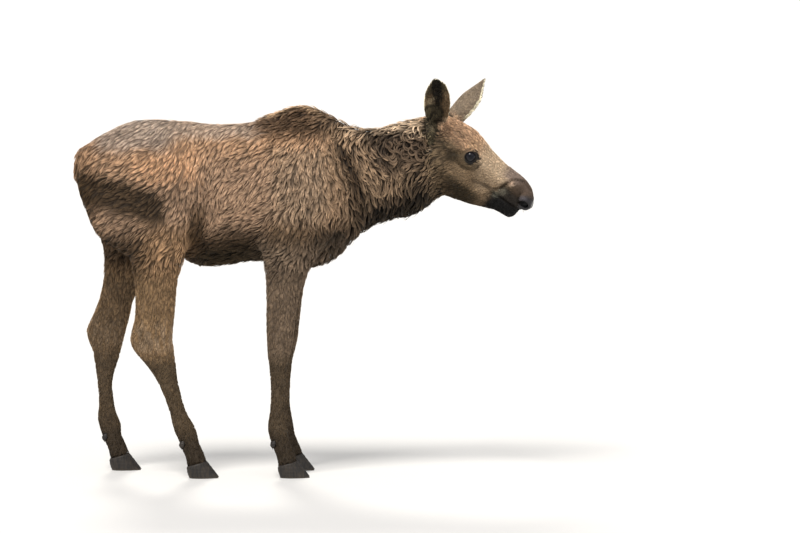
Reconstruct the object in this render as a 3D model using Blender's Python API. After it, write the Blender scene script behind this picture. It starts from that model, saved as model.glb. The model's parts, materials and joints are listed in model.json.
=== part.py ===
"""Moose calf, standing still with its neck held level: a life-size museum model, in metres, +Z up.

The calf faces +X and its left side is +Y. The origin is on the floor under the middle of its bounding box.
All sizes are to the outside of the coat. The body is modelled whole, from smooth stacks of sections, and is
then parted into named pieces by thin cuts.
"""

import math

import bmesh
import bpy
import numpy as np
from mathutils import Matrix, Vector

# Driving dimensions
WITHERS_HEIGHT = 0.984
TRUNK_REAR_X = -0.600
HEAD_LENGTH = 0.328
HEAD_PITCH = math.radians(36.0)
HEAD_YAW = math.radians(7.0)
BEND_START_X, BEND_END_X = 0.12, 0.36
POLL = (0.371, 0.950)
EYE_RADIUS = 0.0165
EAR_LENGTH = 0.168
CUT_WIDTH = 0.0006
GAP = 0.0004

# Fineness of the solids
BODY_VOXEL = 0.0055
SMOOTH_ROUNDS = 7
BODY_TRIANGLES = 3950
HEAD_SHARE = 0.004
RING_POINTS = 40
SLICE_STEP = 0.008

COAT_BROWN = (0.20, 0.115, 0.07)
LEG_BROWN = (0.10, 0.065, 0.048)
FACE_TAN = (0.26, 0.155, 0.095)
NEAR_BLACK = (0.018, 0.014, 0.012)
HORN_GREY = (0.045, 0.038, 0.034)


# ---------------------------------------------------------------- curves and meshes


def cubic(keys, values, at):
    """A smooth curve through values at the rising keys, read at the places in at."""
    keys, values = np.asarray(keys, float), np.asarray(values, float)
    slopes = np.gradient(values, keys)
    i = np.clip(np.searchsorted(keys, at) - 1, 0, len(keys) - 2)
    span = keys[i + 1] - keys[i]
    t = np.clip((at - keys[i]) / span, 0.0, 1.0)
    rise = t * t * (3.0 - 2.0 * t)
    return (
        values[i] * (1.0 - rise)
        + values[i + 1] * rise
        + span * slopes[i] * t * (1.0 - t) ** 2
        - span * slopes[i + 1] * t * t * (1.0 - t)
    )


def sections(table, step):
    """Rows of a station table, smoothly filled in at about the given step of their first column."""
    rows = np.array(sorted(table), float)
    count = max(4, round((rows[-1, 0] - rows[0, 0]) / step))
    at = np.linspace(rows[0, 0], rows[-1, 0], count)
    return np.column_stack([at] + [cubic(rows[:, 0], rows[:, c], at) for c in range(1, rows.shape[1])])


def turned_head(points):
    """The points with the neck bent and the head turned towards -Y, past BEND_START_X."""
    points = np.array(points, float).reshape(-1, 3)
    stations = np.linspace(BEND_START_X, 0.75, 120)
    t = np.clip((stations - BEND_START_X) / (BEND_END_X - BEND_START_X), 0.0, 1.0)
    yaw = HEAD_YAW * t * t * (3.0 - 2.0 * t)
    step = np.diff(stations, prepend=stations[0])
    line_x = BEND_START_X + np.cumsum(np.cos(yaw) * step)
    line_y = np.cumsum(-np.sin(yaw) * step)
    ahead = points[:, 0] > BEND_START_X
    x, y = points[ahead, 0], points[ahead, 1]
    turn = np.interp(x, stations, yaw)
    points[ahead, 0] = np.interp(x, stations, line_x) + y * np.sin(turn)
    points[ahead, 1] = np.interp(x, stations, line_y) + y * np.cos(turn)
    return points


def mesh_object(name, points, faces):
    mesh = bpy.data.meshes.new(name)
    mesh.from_pydata([tuple(p) for p in points], [], faces)
    mesh.update()
    obj = bpy.data.objects.new(name, mesh)
    bpy.context.collection.objects.link(obj)
    return obj


def mesh_points(mesh):
    points = np.empty(3 * len(mesh.vertices))
    mesh.vertices.foreach_get("co", points)
    return points.reshape(-1, 3)


def tube(name, rings):
    """A closed solid through rings of equally many points, its two end rings filled."""
    rings = [np.asarray(ring, float) for ring in rings]
    n = len(rings[0])
    faces = [tuple(range(n))[::-1]]
    for r in range(len(rings) - 1):
        a, b = r * n, (r + 1) * n
        faces += [(a + i, a + (i + 1) % n, b + (i + 1) % n, b + i) for i in range(n)]
    faces.append(tuple(range((len(rings) - 1) * n, len(rings) * n)))
    obj = mesh_object(name, np.vstack(rings), faces)
    face_outwards(obj)
    return obj


def face_outwards(obj):
    bm = bmesh.new()
    bm.from_mesh(obj.data)
    bmesh.ops.recalc_face_normals(bm, faces=bm.faces)
    if bm.calc_volume(signed=True) < 0:
        bmesh.ops.reverse_faces(bm, faces=bm.faces)
    bm.to_mesh(obj.data)
    bm.free()


def body_ring(top, bottom, half_width, widest, ridge, keel, fullness=0.9, count=RING_POINTS):
    """(sides, heights) of a trunk-like section. widest is the height of the widest place, from 0 at the
    bottom to 1 at the top; ridge and keel draw the section in towards its top and bottom."""
    a = np.linspace(0.0, 2.0 * math.pi, count, endpoint=False)
    up, out = np.cos(a), np.sin(a)
    middle = bottom + widest * (top - bottom)
    heights = middle + np.where(up > 0, (top - middle) * up, (middle - bottom) * up)
    pinch = 1.0 - np.where(up > 0, ridge, keel) * up * up
    sides = half_width * np.sign(out) * np.abs(out) ** fullness * pinch
    return sides, heights


def merged(objects, name):
    """One object that holds the meshes of several, which are removed."""
    bm = bmesh.new()
    for obj in objects:
        bm.from_mesh(obj.data)
        bpy.data.objects.remove(obj)
    mesh = bpy.data.meshes.new(name)
    bm.to_mesh(mesh)
    bm.free()
    obj = bpy.data.objects.new(name, mesh)
    bpy.context.collection.objects.link(obj)
    return obj


def settled(obj):
    """The object with its modifiers made part of its mesh."""
    bpy.context.view_layer.update()
    mesh = bpy.data.meshes.new_from_object(obj.evaluated_get(bpy.context.evaluated_depsgraph_get()))
    obj.modifiers.clear()
    obj.data = mesh
    return obj


def cut(obj, cutter):
    """Takes the cutter's solid out of the object, and removes the cutter."""
    boolean = obj.modifiers.new("cut", "BOOLEAN")
    boolean.operation = "DIFFERENCE"
    boolean.solver = "EXACT"
    boolean.object = cutter
    settled(obj)
    bpy.data.objects.remove(cutter)


def slab(middle, normal, half_size, width=CUT_WIDTH):
    """A thin square plate across normal, for a parting cut."""
    bm = bmesh.new()
    bmesh.ops.create_cube(bm, size=1.0)
    scale = Matrix.Diagonal((2.0 * half_size[0], 2.0 * half_size[1], width, 1.0))
    turn = Vector(normal).to_track_quat("Z", "Y").to_matrix().to_4x4()
    bmesh.ops.transform(bm, matrix=Matrix.Translation(middle) @ turn @ scale, verts=bm.verts)
    mesh = bpy.data.meshes.new("slab")
    bm.to_mesh(mesh)
    bm.free()
    obj = bpy.data.objects.new("slab", mesh)
    bpy.context.collection.objects.link(obj)
    return obj


def trimmed(obj, point, normal):
    """Cuts off what lies beyond the plane, on the side that normal points to, and closes the cut."""
    bm = bmesh.new()
    bm.from_mesh(obj.data)
    geometry = bm.verts[:] + bm.edges[:] + bm.faces[:]
    bmesh.ops.bisect_plane(
        bm, geom=geometry, dist=1e-6, plane_co=point, plane_no=normal, clear_outer=True
    )
    bmesh.ops.holes_fill(bm, edges=[e for e in bm.edges if e.is_boundary])
    bmesh.ops.triangulate(bm, faces=[f for f in bm.faces if len(f.verts) > 4])
    bm.to_mesh(obj.data)
    bm.free()


# ---------------------------------------------------------------- trunk and neck

# x, top, bottom, half width, widest height, ridge, keel
TRUNK_STATIONS = [
    (TRUNK_REAR_X, 0.824, 0.774, 0.020, 0.50, 0.0, 0.0),
    (-0.588, 0.858, 0.734, 0.056, 0.52, 0.1, 0.1),
    (-0.560, 0.883, 0.701, 0.084, 0.55, 0.2, 0.1),
    (-0.510, 0.914, 0.679, 0.100, 0.55, 0.35, 0.1),
    (-0.450, 0.938, 0.654, 0.107, 0.55, 0.45, 0.1),
    (-0.380, 0.942, 0.619, 0.109, 0.55, 0.35, 0.2),
    (-0.330, 0.940, 0.577, 0.107, 0.55, 0.30, 0.3),
    (-0.274, 0.934, 0.551, 0.109, 0.52, 0.40, 0.3),
    (-0.210, 0.930, 0.553, 0.120, 0.50, 0.45, 0.3),
    (-0.140, 0.936, 0.564, 0.126, 0.46, 0.50, 0.3),
    (-0.075, 0.961, 0.561, 0.124, 0.42, 0.55, 0.35),
    (-0.020, 0.981, 0.551, 0.117, 0.40, 0.62, 0.40),
    (0.020, WITHERS_HEIGHT - 0.003, 0.548, 0.109, 0.40, 0.62, 0.45),
    (0.060, 0.961, 0.561, 0.100, 0.40, 0.50, 0.45),
    (0.100, 0.939, 0.585, 0.089, 0.42, 0.40, 0.40),
    (0.150, 0.919, 0.641, 0.078, 0.45, 0.30, 0.30),
    (0.200, 0.918, 0.669, 0.072, 0.48, 0.25, 0.25),
    (0.253, 0.934, 0.682, 0.068, 0.50, 0.22, 0.25),
    (0.305, 0.950, 0.697, 0.064, 0.50, 0.20, 0.25),
    (0.345, 0.953, 0.719, 0.060, 0.50, 0.20, 0.25),
    (0.375, 0.943, 0.745, 0.054, 0.50, 0.20, 0.25),
]


def trunk_and_neck():
    rings = []
    for x, *shape in sections(TRUNK_STATIONS, SLICE_STEP):
        sides, heights = body_ring(*shape)
        rings.append(turned_head(np.column_stack([np.full(len(sides), x), sides, heights])))
    return tube("trunk_and_neck", rings)


# ---------------------------------------------------------------- head

HEAD_AXIS = Vector((math.cos(HEAD_PITCH), 0.0, -math.sin(HEAD_PITCH)))
HEAD_UP = Vector((math.sin(HEAD_PITCH), 0.0, math.cos(HEAD_PITCH)))
HEAD_SIDE = Vector((0.0, 1.0, 0.0))

# along the head from the poll, top, bottom, half width, widest height, ridge, keel
SKULL_STATIONS = [
    (-0.020, -0.012, -0.110, 0.040, 0.55, 0.2, 0.1),
    (0.000, 0.000, -0.135, 0.050, 0.58, 0.3, 0.2),
    (0.030, 0.009, -0.150, 0.055, 0.62, 0.3, 0.3),
    (0.062, 0.013, -0.155, 0.058, 0.66, 0.25, 0.4),
    (0.088, 0.016, -0.150, 0.062, 0.68, 0.22, 0.45),
    (0.110, 0.012, -0.143, 0.063, 0.68, 0.20, 0.45),
    (0.132, 0.007, -0.132, 0.058, 0.66, 0.25, 0.45),
    (0.155, 0.001, -0.120, 0.050, 0.60, 0.28, 0.40),
    (0.180, -0.004, -0.108, 0.043, 0.55, 0.28, 0.30),
    (0.210, -0.007, -0.098, 0.0375, 0.50, 0.25, 0.20),
    (0.240, -0.007, -0.091, 0.0355, 0.46, 0.20, 0.15),
    (0.265, -0.008, -0.086, 0.0365, 0.42, 0.15, 0.15),
    (0.290, -0.014, -0.083, 0.0375, 0.38, 0.12, 0.15),
    (0.308, -0.025, -0.082, 0.0345, 0.38, 0.10, 0.10),
    (0.320, -0.038, -0.078, 0.0265, 0.42, 0.05, 0.05),
    (HEAD_LENGTH, -0.052, -0.068, 0.010, 0.50, 0.0, 0.0),
]

JAW_STATIONS = [
    (0.070, -0.095, -0.135, 0.030, 0.50, 0.0, 0.1),
    (0.100, -0.080, -0.157, 0.036, 0.50, 0.0, 0.2),
    (0.130, -0.075, -0.168, 0.036, 0.50, 0.0, 0.3),
    (0.160, -0.072, -0.160, 0.032, 0.50, 0.0, 0.3),
    (0.195, -0.070, -0.150, 0.028, 0.50, 0.0, 0.3),
    (0.225, -0.074, -0.136, 0.0255, 0.50, 0.0, 0.25),
    (0.255, -0.078, -0.124, 0.0250, 0.50, 0.0, 0.2),
    (0.280, -0.080, -0.121, 0.0260, 0.50, 0.0, 0.15),
    (0.297, -0.084, -0.118, 0.0220, 0.50, 0.0, 0.1),
    (0.306, -0.092, -0.107, 0.0100, 0.50, 0.0, 0.0),
]


def on_head(along, side, up):
    """Points of the straight head frame, which starts at the poll, placed on the turned head."""
    along, side, up = np.broadcast_arrays(np.asarray(along, float), side, up)
    points = np.array([POLL[0], 0.0, POLL[1]]) + (
        along[..., None] * np.array(HEAD_AXIS)
        + side[..., None] * np.array(HEAD_SIDE)
        + up[..., None] * np.array(HEAD_UP)
    )
    return turned_head(points)


def head_direction(along, side, up):
    """A direction of the head frame, with the head's yaw."""
    v = HEAD_AXIS * along + HEAD_SIDE * side + HEAD_UP * up
    v.rotate(Matrix.Rotation(-HEAD_YAW, 3, "Z"))
    return v.normalized()


def head_tube(name, table):
    rings = []
    for s, *shape in sections(table, 0.006):
        sides, heights = body_ring(*shape, fullness=0.92)
        rings.append(on_head(s, sides, heights))
    return tube(name, rings)


def ball(name, middle, radii, turn=None, segments=16, rings=10):
    """An ellipsoid. turn gives its axes as a matrix."""
    bm = bmesh.new()
    bmesh.ops.create_uvsphere(bm, u_segments=segments, v_segments=rings, radius=1.0)
    place = Matrix.Translation(middle)
    if turn is not None:
        place = place @ turn.to_4x4()
    bmesh.ops.transform(bm, matrix=place @ Matrix.Diagonal((*radii, 1.0)), verts=bm.verts)
    mesh = bpy.data.meshes.new(name)
    bm.to_mesh(mesh)
    bm.free()
    obj = bpy.data.objects.new(name, mesh)
    bpy.context.collection.objects.link(obj)
    return obj


def head_matrix():
    """The head frame's axes as the columns of a rotation: along, side, up."""
    columns = [head_direction(1, 0, 0), head_direction(0, 1, 0), head_direction(0, 0, 1)]
    return Matrix(columns).transposed()


# The eyes, brows and cheeks, in the head frame, for the left side
EYE_PLACE = (0.120, 0.0505, -0.042)
BROW_PLACE, BROW_RADII = (0.108, 0.044, -0.026), (0.030, 0.022, 0.020)
CHEEK_PLACE, CHEEK_RADII = (0.105, 0.030, -0.095), (0.058, 0.028, 0.048)
NOSTRIL_PLACE, NOSTRIL_RADII = (0.304, 0.024, -0.058), (0.026, 0.0145, 0.019)
LIP_PLACE, LIP_RADII = (0.272, 0.020, -0.070), (0.036, 0.0165, 0.018)


def head_forms():
    pieces = [head_tube("skull", SKULL_STATIONS), head_tube("jaw", JAW_STATIONS)]
    for side in (-1.0, 1.0):
        for place, radii in (
            (BROW_PLACE, BROW_RADII),
            (CHEEK_PLACE, CHEEK_RADII),
            (NOSTRIL_PLACE, NOSTRIL_RADII),
            (LIP_PLACE, LIP_RADII),
        ):
            middle = on_head(place[0], place[1] * side, place[2])[0]
            pieces.append(ball("form", middle, radii, head_matrix()))
    return pieces


# ---------------------------------------------------------------- legs

# height, rear x, front x, middle y, half width; the last rows reach down inside the hooves
HIND_RIGHT = [
    (0.880, -0.520, -0.360, 0.045, 0.022),
    (0.820, -0.582, -0.334, 0.064, 0.036),
    (0.760, -0.593, -0.312, 0.071, 0.045),
    (0.700, -0.572, -0.298, 0.074, 0.047),
    (0.649, -0.550, -0.293, 0.077, 0.045),
    (0.624, -0.530, -0.294, 0.079, 0.043),
    (0.599, -0.489, -0.300, 0.081, 0.040),
    (0.574, -0.455, -0.308, 0.083, 0.037),
    (0.539, -0.446, -0.324, 0.083, 0.034),
    (0.480, -0.442, -0.333, 0.081, 0.029),
    (0.420, -0.445, -0.337, 0.078, 0.0265),
    (0.390, -0.452, -0.341, 0.077, 0.0270),
    (0.366, -0.457, -0.343, 0.077, 0.0275),
    (0.340, -0.450, -0.340, 0.077, 0.0275),
    (0.314, -0.429, -0.337, 0.077, 0.0255),
    (0.288, -0.407, -0.333, 0.077, 0.0225),
    (0.262, -0.390, -0.331, 0.077, 0.0205),
    (0.235, -0.376, -0.325, 0.078, 0.0190),
    (0.205, -0.364, -0.318, 0.079, 0.0185),
    (0.170, -0.352, -0.306, 0.080, 0.0190),
    (0.146, -0.348, -0.293, 0.080, 0.0225),
    (0.124, -0.341, -0.281, 0.081, 0.0250),
    (0.098, -0.330, -0.276, 0.081, 0.0235),
    (0.074, -0.321, -0.266, 0.081, 0.0240),
    (0.050, -0.310, -0.256, 0.081, 0.0255),
    (0.025, -0.308, -0.245, 0.081, 0.0255),
]

HIND_LEFT = [
    (0.880, -0.520, -0.360, 0.045, 0.022),
    (0.820, -0.582, -0.334, 0.064, 0.036),
    (0.760, -0.593, -0.314, 0.071, 0.045),
    (0.700, -0.577, -0.306, 0.074, 0.047),
    (0.649, -0.555, -0.310, 0.077, 0.045),
    (0.609, -0.543, -0.330, 0.079, 0.041),
    (0.574, -0.535, -0.362, 0.080, 0.037),
    (0.539, -0.533, -0.396, 0.080, 0.034),
    (0.500, -0.537, -0.428, 0.079, 0.030),
    (0.455, -0.548, -0.453, 0.078, 0.0275),
    (0.402, -0.570, -0.465, 0.077, 0.0265),
    (0.376, -0.582, -0.473, 0.077, 0.0275),
    (0.350, -0.577, -0.480, 0.077, 0.0270),
    (0.323, -0.566, -0.487, 0.077, 0.0245),
    (0.297, -0.561, -0.494, 0.077, 0.0215),
    (0.262, -0.556, -0.506, 0.078, 0.0195),
    (0.225, -0.552, -0.512, 0.078, 0.0185),
    (0.190, -0.549, -0.508, 0.079, 0.0185),
    (0.165, -0.550, -0.505, 0.080, 0.0195),
    (0.143, -0.553, -0.498, 0.080, 0.0225),
    (0.122, -0.550, -0.489, 0.081, 0.0250),
    (0.098, -0.543, -0.489, 0.081, 0.0235),
    (0.074, -0.534, -0.479, 0.081, 0.0240),
    (0.050, -0.523, -0.469, 0.081, 0.0255),
    (0.025, -0.521, -0.458, 0.081, 0.0255),
]

FORE_RIGHT = [
    (0.890, -0.050, 0.030, 0.040, 0.018),
    (0.830, -0.072, 0.062, 0.060, 0.026),
    (0.770, -0.090, 0.090, 0.074, 0.034),
    (0.710, -0.104, 0.105, 0.081, 0.040),
    (0.660, -0.114, 0.092, 0.083, 0.042),
    (0.614, -0.116, 0.062, 0.083, 0.042),
    (0.579, -0.108, 0.036, 0.082, 0.040),
    (0.549, -0.101, 0.015, 0.081, 0.037),
    (0.510, -0.099, -0.001, 0.080, 0.0335),
    (0.470, -0.099, -0.012, 0.079, 0.0310),
    (0.430, -0.099, -0.019, 0.078, 0.0290),
    (0.392, -0.099, -0.024, 0.077, 0.0290),
    (0.355, -0.097, -0.028, 0.077, 0.0295),
    (0.320, -0.095, -0.036, 0.076, 0.0260),
    (0.290, -0.091, -0.043, 0.075, 0.0220),
    (0.250, -0.088, -0.047, 0.075, 0.0195),
    (0.205, -0.088, -0.049, 0.075, 0.0185),
    (0.168, -0.090, -0.049, 0.075, 0.0190),
    (0.145, -0.095, -0.045, 0.075, 0.0230),
    (0.122, -0.095, -0.040, 0.075, 0.0255),
    (0.098, -0.089, -0.037, 0.075, 0.0240),
    (0.074, -0.081, -0.027, 0.075, 0.0245),
    (0.050, -0.071, -0.017, 0.075, 0.0260),
    (0.025, -0.069, -0.006, 0.075, 0.0260),
]
FORE_LEFT_STEP = 0.010  # the left forefoot stands this much further forward


def fore_left():
    """The right foreleg's sections, moved forward more and more towards the foot."""
    moved = []
    for height, rear, front, middle, half in FORE_RIGHT:
        ahead = FORE_LEFT_STEP * min(1.0, max(0.0, (0.62 - height) / 0.2))
        moved.append((height, rear + ahead, front + ahead, middle, half))
    return moved


def leg_tube(name, table, side):
    """A leg of level slices, each a rounded shape from its rear to its front."""
    a = np.linspace(0.0, 2.0 * math.pi, RING_POINTS, endpoint=False)
    rings = []
    for z, rear, front, middle, half in sections(table, SLICE_STEP):
        x = (rear + front) / 2 + (front - rear) / 2 * np.cos(a)
        y = side * middle + half * np.sign(np.sin(a)) * np.abs(np.sin(a)) ** 0.9
        rings.append(np.column_stack([x, y, np.full(len(a), z)]))
    return tube(name, rings)


# ---------------------------------------------------------------- hooves

HOOF_LENGTH, HOOF_HALF_WIDTH, HOOF_TOE_SLOPE = 0.088, 0.0145, math.radians(52)
HOOF_SPLIT = 0.0028
CORONET_REAR, CORONET_FRONT = 0.030, 0.050
CORONET_TILT = math.atan2(CORONET_FRONT - CORONET_REAR, HOOF_LENGTH * 0.75)
CORONET_NORMAL = Vector((-math.sin(CORONET_TILT), 0.0, math.cos(CORONET_TILT)))


def claw(name, heel, middle_y, turn_out):
    """One half of a cloven hoof: flat below, pointed in front, with a sloping toe wall."""
    a = np.linspace(0.0, 2.0 * math.pi, 14, endpoint=False)
    rings = []
    for z in np.linspace(0.0, 0.060, 4):
        rise = z / 0.060
        toe = heel + HOOF_LENGTH - z / math.tan(HOOF_TOE_SLOPE)
        rear = heel + 0.004 * rise
        half = HOOF_HALF_WIDTH * (1.0 - 0.10 * rise)
        forward = np.cos(a)
        x = (rear + toe) / 2 + (toe - rear) / 2 * forward
        y = half * np.sin(a) * (1.0 - 0.42 * np.clip(forward, 0.0, 1.0) ** 1.3)
        y = y + turn_out * 0.004 * np.clip(forward, 0.0, 1.0) * -1.0
        rings.append(np.column_stack([x, middle_y + y, np.full(len(a), z)]))
    hoof = tube(name, rings)
    trimmed(hoof, (heel, middle_y, CORONET_REAR - GAP), CORONET_NORMAL)
    return hoof


def dewclaw(name, x, y, z):
    """A small blunt horn behind the pastern."""
    lean = Matrix.Rotation(math.radians(28), 3, "Y")
    return ball(name, (x, y, z), (0.0085, 0.0075, 0.0155), lean, segments=8, rings=5)


# ---------------------------------------------------------------- ears

# share of the length, half width, half angle of the rolled cup, thickness
EAR_STATIONS = [
    (0.00, 0.0165, 2.30, 0.0080),
    (0.12, 0.0190, 2.10, 0.0080),
    (0.25, 0.0260, 1.75, 0.0075),
    (0.40, 0.0325, 1.40, 0.0070),
    (0.55, 0.0350, 1.15, 0.0065),
    (0.70, 0.0330, 0.98, 0.0060),
    (0.84, 0.0265, 0.85, 0.0055),
    (0.94, 0.0165, 0.75, 0.0050),
    (1.00, 0.0070, 0.65, 0.0045),
]
EAR_ARC_POINTS = 9
EAR_TRIM = 0.024  # the ear starts this far along its axis; what is below belongs to the head


def ear_section(half_width, half_angle, thickness):
    """(across, deep) of a C-shaped section: the outside of the cup, then the inside, back to the start."""
    radius = half_width / math.sin(min(half_angle, math.pi / 2))
    v = np.linspace(-1.0, 1.0, EAR_ARC_POINTS)
    wall = thickness * (0.45 + 0.55 * (1.0 - v**4))
    angle = v * half_angle
    outer, inner = radius + wall / 2, radius - wall / 2
    across = np.concatenate([outer * np.sin(angle), (inner * np.sin(angle))[::-1]])
    deep = np.concatenate([-outer * np.cos(angle), (-inner * np.cos(angle))[::-1]])
    return across, deep - (deep.max() + deep.min()) / 2


def ear_frame(base, axis, facing):
    """Base point and the ear's three directions: to the tip, across, and out of the cup's mouth."""
    axis = Vector(axis).normalized()
    facing = Vector(facing)
    facing = (facing - axis * facing.dot(axis)).normalized()
    return Vector(base), axis, axis.cross(facing).normalized(), facing


def ear(name, frame):
    base, axis, across_way, facing = frame
    rings = []
    for u, half_width, half_angle, thickness in sections(EAR_STATIONS, 0.085):
        across, deep = ear_section(half_width, half_angle, thickness)
        middle = np.array(base + axis * (u * EAR_LENGTH))
        lean = 0.010 * u * u
        rings.append(
            middle
            + across[:, None] * np.array(across_way)
            + (deep + lean)[:, None] * np.array(facing)
        )
    obj = tube(name, rings)
    trimmed(obj, base + axis * EAR_TRIM, -axis)
    return obj


def ear_root(frame):
    """The solid root of an ear, which joins the head."""
    base, axis, across_way, facing = frame
    a = np.linspace(0.0, 2.0 * math.pi, 24, endpoint=False)
    rings = []
    for s, radius in ((-0.035, 0.026), (-0.012, 0.024), (0.008, 0.0215), (EAR_TRIM + 0.012, 0.0205)):
        middle = np.array(base + axis * s)
        rings.append(
            middle
            + radius * np.cos(a)[:, None] * np.array(across_way)
            + radius * np.sin(a)[:, None] * np.array(facing)
        )
    return tube("ear_root", rings)


def ear_frames():
    right_base = on_head(0.006, -0.047, -0.035)[0]
    left_base = on_head(0.018, 0.042, -0.026)[0]
    return {
        "ear_right": ear_frame(right_base, (-0.045, -0.56, 0.82), (0.28, -0.86, -0.30)),
        "ear_left": ear_frame(left_base, (0.59, 0.26, 0.77), (0.66, 0.62, -0.40)),
    }


# ---------------------------------------------------------------- tail

TAIL_LINE = [(-0.560, 0.868), (-0.585, 0.856), (-0.598, 0.830), (-0.602, 0.802), (-0.601, 0.775)]
TAIL_HALF_WIDTHS = [0.014, 0.0165, 0.017, 0.015, 0.009]
TAIL_HALF_THICKNESS = [0.011, 0.011, 0.0095, 0.008, 0.005]


def tail(name, extra=0.0):
    at = np.linspace(0.0, 1.0, 8)
    keys = np.linspace(0.0, 1.0, len(TAIL_LINE))
    x = cubic(keys, [p[0] for p in TAIL_LINE], at)
    z = cubic(keys, [p[1] for p in TAIL_LINE], at)
    wide = cubic(keys, TAIL_HALF_WIDTHS, at) + extra
    thick = cubic(keys, TAIL_HALF_THICKNESS, at) + extra
    run = np.column_stack([np.gradient(x), np.gradient(z)])
    run /= np.linalg.norm(run, axis=1)[:, None]
    a = np.linspace(0.0, 2.0 * math.pi, 10, endpoint=False)
    rings = []
    for i in range(len(at)):
        end = extra * (1.0 if i == len(at) - 1 else -1.0 if i == 0 else 0.0)
        out = thick[i] * np.cos(a)
        rings.append(
            np.column_stack(
                [
                    x[i] + run[i, 0] * end - run[i, 1] * -out,
                    wide[i] * np.sin(a),
                    z[i] + run[i, 1] * end - run[i, 0] * out,
                ]
            )
        )
    return tube(name, rings)


# ---------------------------------------------------------------- the whole animal


def whole_body():
    """Trunk, neck, head and legs as one smooth solid of few triangles."""
    forms = [trunk_and_neck(), *head_forms()]
    forms += [ear_root(frame) for frame in ear_frames().values()]
    forms += [
        leg_tube("hind_right", HIND_RIGHT, -1.0),
        leg_tube("hind_left", HIND_LEFT, 1.0),
        leg_tube("fore_right", FORE_RIGHT, -1.0),
        leg_tube("fore_left", fore_left(), 1.0),
    ]
    body = merged(forms, "body")
    remesh = body.modifiers.new("one_surface", "REMESH")
    remesh.mode = "VOXEL"
    remesh.voxel_size = BODY_VOXEL
    smooth = body.modifiers.new("blend", "SMOOTH")
    smooth.factor = 0.5
    smooth.iterations = SMOOTH_ROUNDS
    settled(body)

    plain = body.vertex_groups.new(name="plain")
    for vertex in body.data.vertices:
        on_face = min(1.0, max(0.0, (vertex.co.x - 0.30) / 0.06))
        on_leg = 0.5 * min(1.0, max(0.0, (0.50 - vertex.co.z) / 0.10))
        plain.add([vertex.index], 1.0 - 0.95 * max(on_face, on_leg), "REPLACE")
    decimate = body.modifiers.new("fewer_faces", "DECIMATE")
    decimate.ratio = BODY_TRIANGLES / (2.0 * len(body.data.polygons))
    decimate.vertex_group = "plain"
    decimate.vertex_group_factor = HEAD_SHARE
    decimate.use_collapse_triangulate = True
    settled(body)
    body.vertex_groups.clear()
    return body


NECK_CUT = ((0.105, 0.0, 0.77), (0.985, 0.0, 0.17))
HEAD_CUT = ((0.325, 0.0, 0.84), (0.985, 0.0, 0.17))
HIND_CUT_LOW, HIND_CUT_HIGH = (-0.290, 0.534), (-0.600, 0.701)
FORE_CUT_HEIGHT = 0.541
HOCK_CUT_HEIGHT = 0.310
KNEE_CUT_HEIGHT = 0.322


def part_body(body):
    """Thin cuts between the pieces a person would name."""
    for middle, normal in (NECK_CUT, HEAD_CUT):
        cut(body, slab(turned_head([middle])[0], normal, (0.30, 0.30)))
    low, high = Vector((HIND_CUT_LOW[0], 0, HIND_CUT_LOW[1])), Vector((HIND_CUT_HIGH[0], 0, HIND_CUT_HIGH[1]))
    across = (high - low).cross(Vector((0, 1, 0))).normalized()
    cut(body, slab((low + high) / 2, across, ((high - low).length / 2 + 0.02, 0.20)))
    middle = (low + high) / 2 + Vector((0, 0, -0.11))
    cut(body, slab(middle, (0, 1, 0), (0.17, 0.17)))
    cut(body, slab((-0.03, 0.0, FORE_CUT_HEIGHT), (0, 0, 1), (0.12, 0.16)))
    cut(body, slab((-0.45, 0.0, HOCK_CUT_HEIGHT), (0, 0, 1), (0.17, 0.16)))
    cut(body, slab((-0.05, 0.0, KNEE_CUT_HEIGHT), (0, 0, 1), (0.10, 0.16)))


def loose_pieces(body):
    """Each separate piece of the body as a bmesh-made object."""
    bm = bmesh.new()
    bm.from_mesh(body.data)
    bpy.data.objects.remove(body)
    left, pieces = set(bm.verts), []
    while left:
        seen, front = set(), [next(iter(left))]
        while front:
            vert = front.pop()
            if vert in seen:
                continue
            seen.add(vert)
            front += [edge.other_vert(vert) for edge in vert.link_edges]
        left -= seen
        order = {vert: i for i, vert in enumerate(sorted(seen, key=lambda v: v.index))}
        faces = [[order[v] for v in face.verts] for face in bm.faces if face.verts[0] in seen]
        points = [tuple(vert.co) for vert in sorted(seen, key=lambda v: v.index)]
        pieces.append(mesh_object("piece", points, faces))
    bm.free()
    return pieces


# A place inside each piece of the parted body
PIECE_PLACES = {
    "trunk": (-0.20, 0.0, 0.76),
    "neck": (0.23, 0.0, 0.80),
    "head": (0.48, 0.0, 0.81),
    "hind_leg_right": (-0.39, -0.08, 0.45),
    "hind_leg_left": (-0.49, 0.08, 0.45),
    "foreleg_right": (-0.06, -0.08, 0.44),
    "foreleg_left": (-0.05, 0.08, 0.44),
    "hind_cannon_right": (-0.34, -0.08, 0.18),
    "hind_cannon_left": (-0.52, 0.08, 0.18),
    "fore_cannon_right": (-0.07, -0.075, 0.18),
    "fore_cannon_left": (-0.06, 0.075, 0.18),
}


def box_middle(obj):
    points = mesh_points(obj.data)
    return (points.min(0) + points.max(0)) / 2


def named_pieces(pieces):
    found = {}
    for name, place in PIECE_PLACES.items():
        best = min(pieces, key=lambda piece: np.linalg.norm(box_middle(piece) - np.array(place)))
        pieces.remove(best)
        best.name = best.data.name = name
        found[name] = best
    for scrap in pieces:
        bpy.data.objects.remove(scrap)
    return found


FEET = {
    "hind_right": ("hind_cannon_right", -0.309, -0.081),
    "hind_left": ("hind_cannon_left", -0.522, 0.081),
    "fore_right": ("fore_cannon_right", -0.070, -0.075),
    "fore_left": ("fore_cannon_left", -0.070 + FORE_LEFT_STEP, 0.075),
}
DEWCLAW_HEIGHT = 0.088


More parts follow.
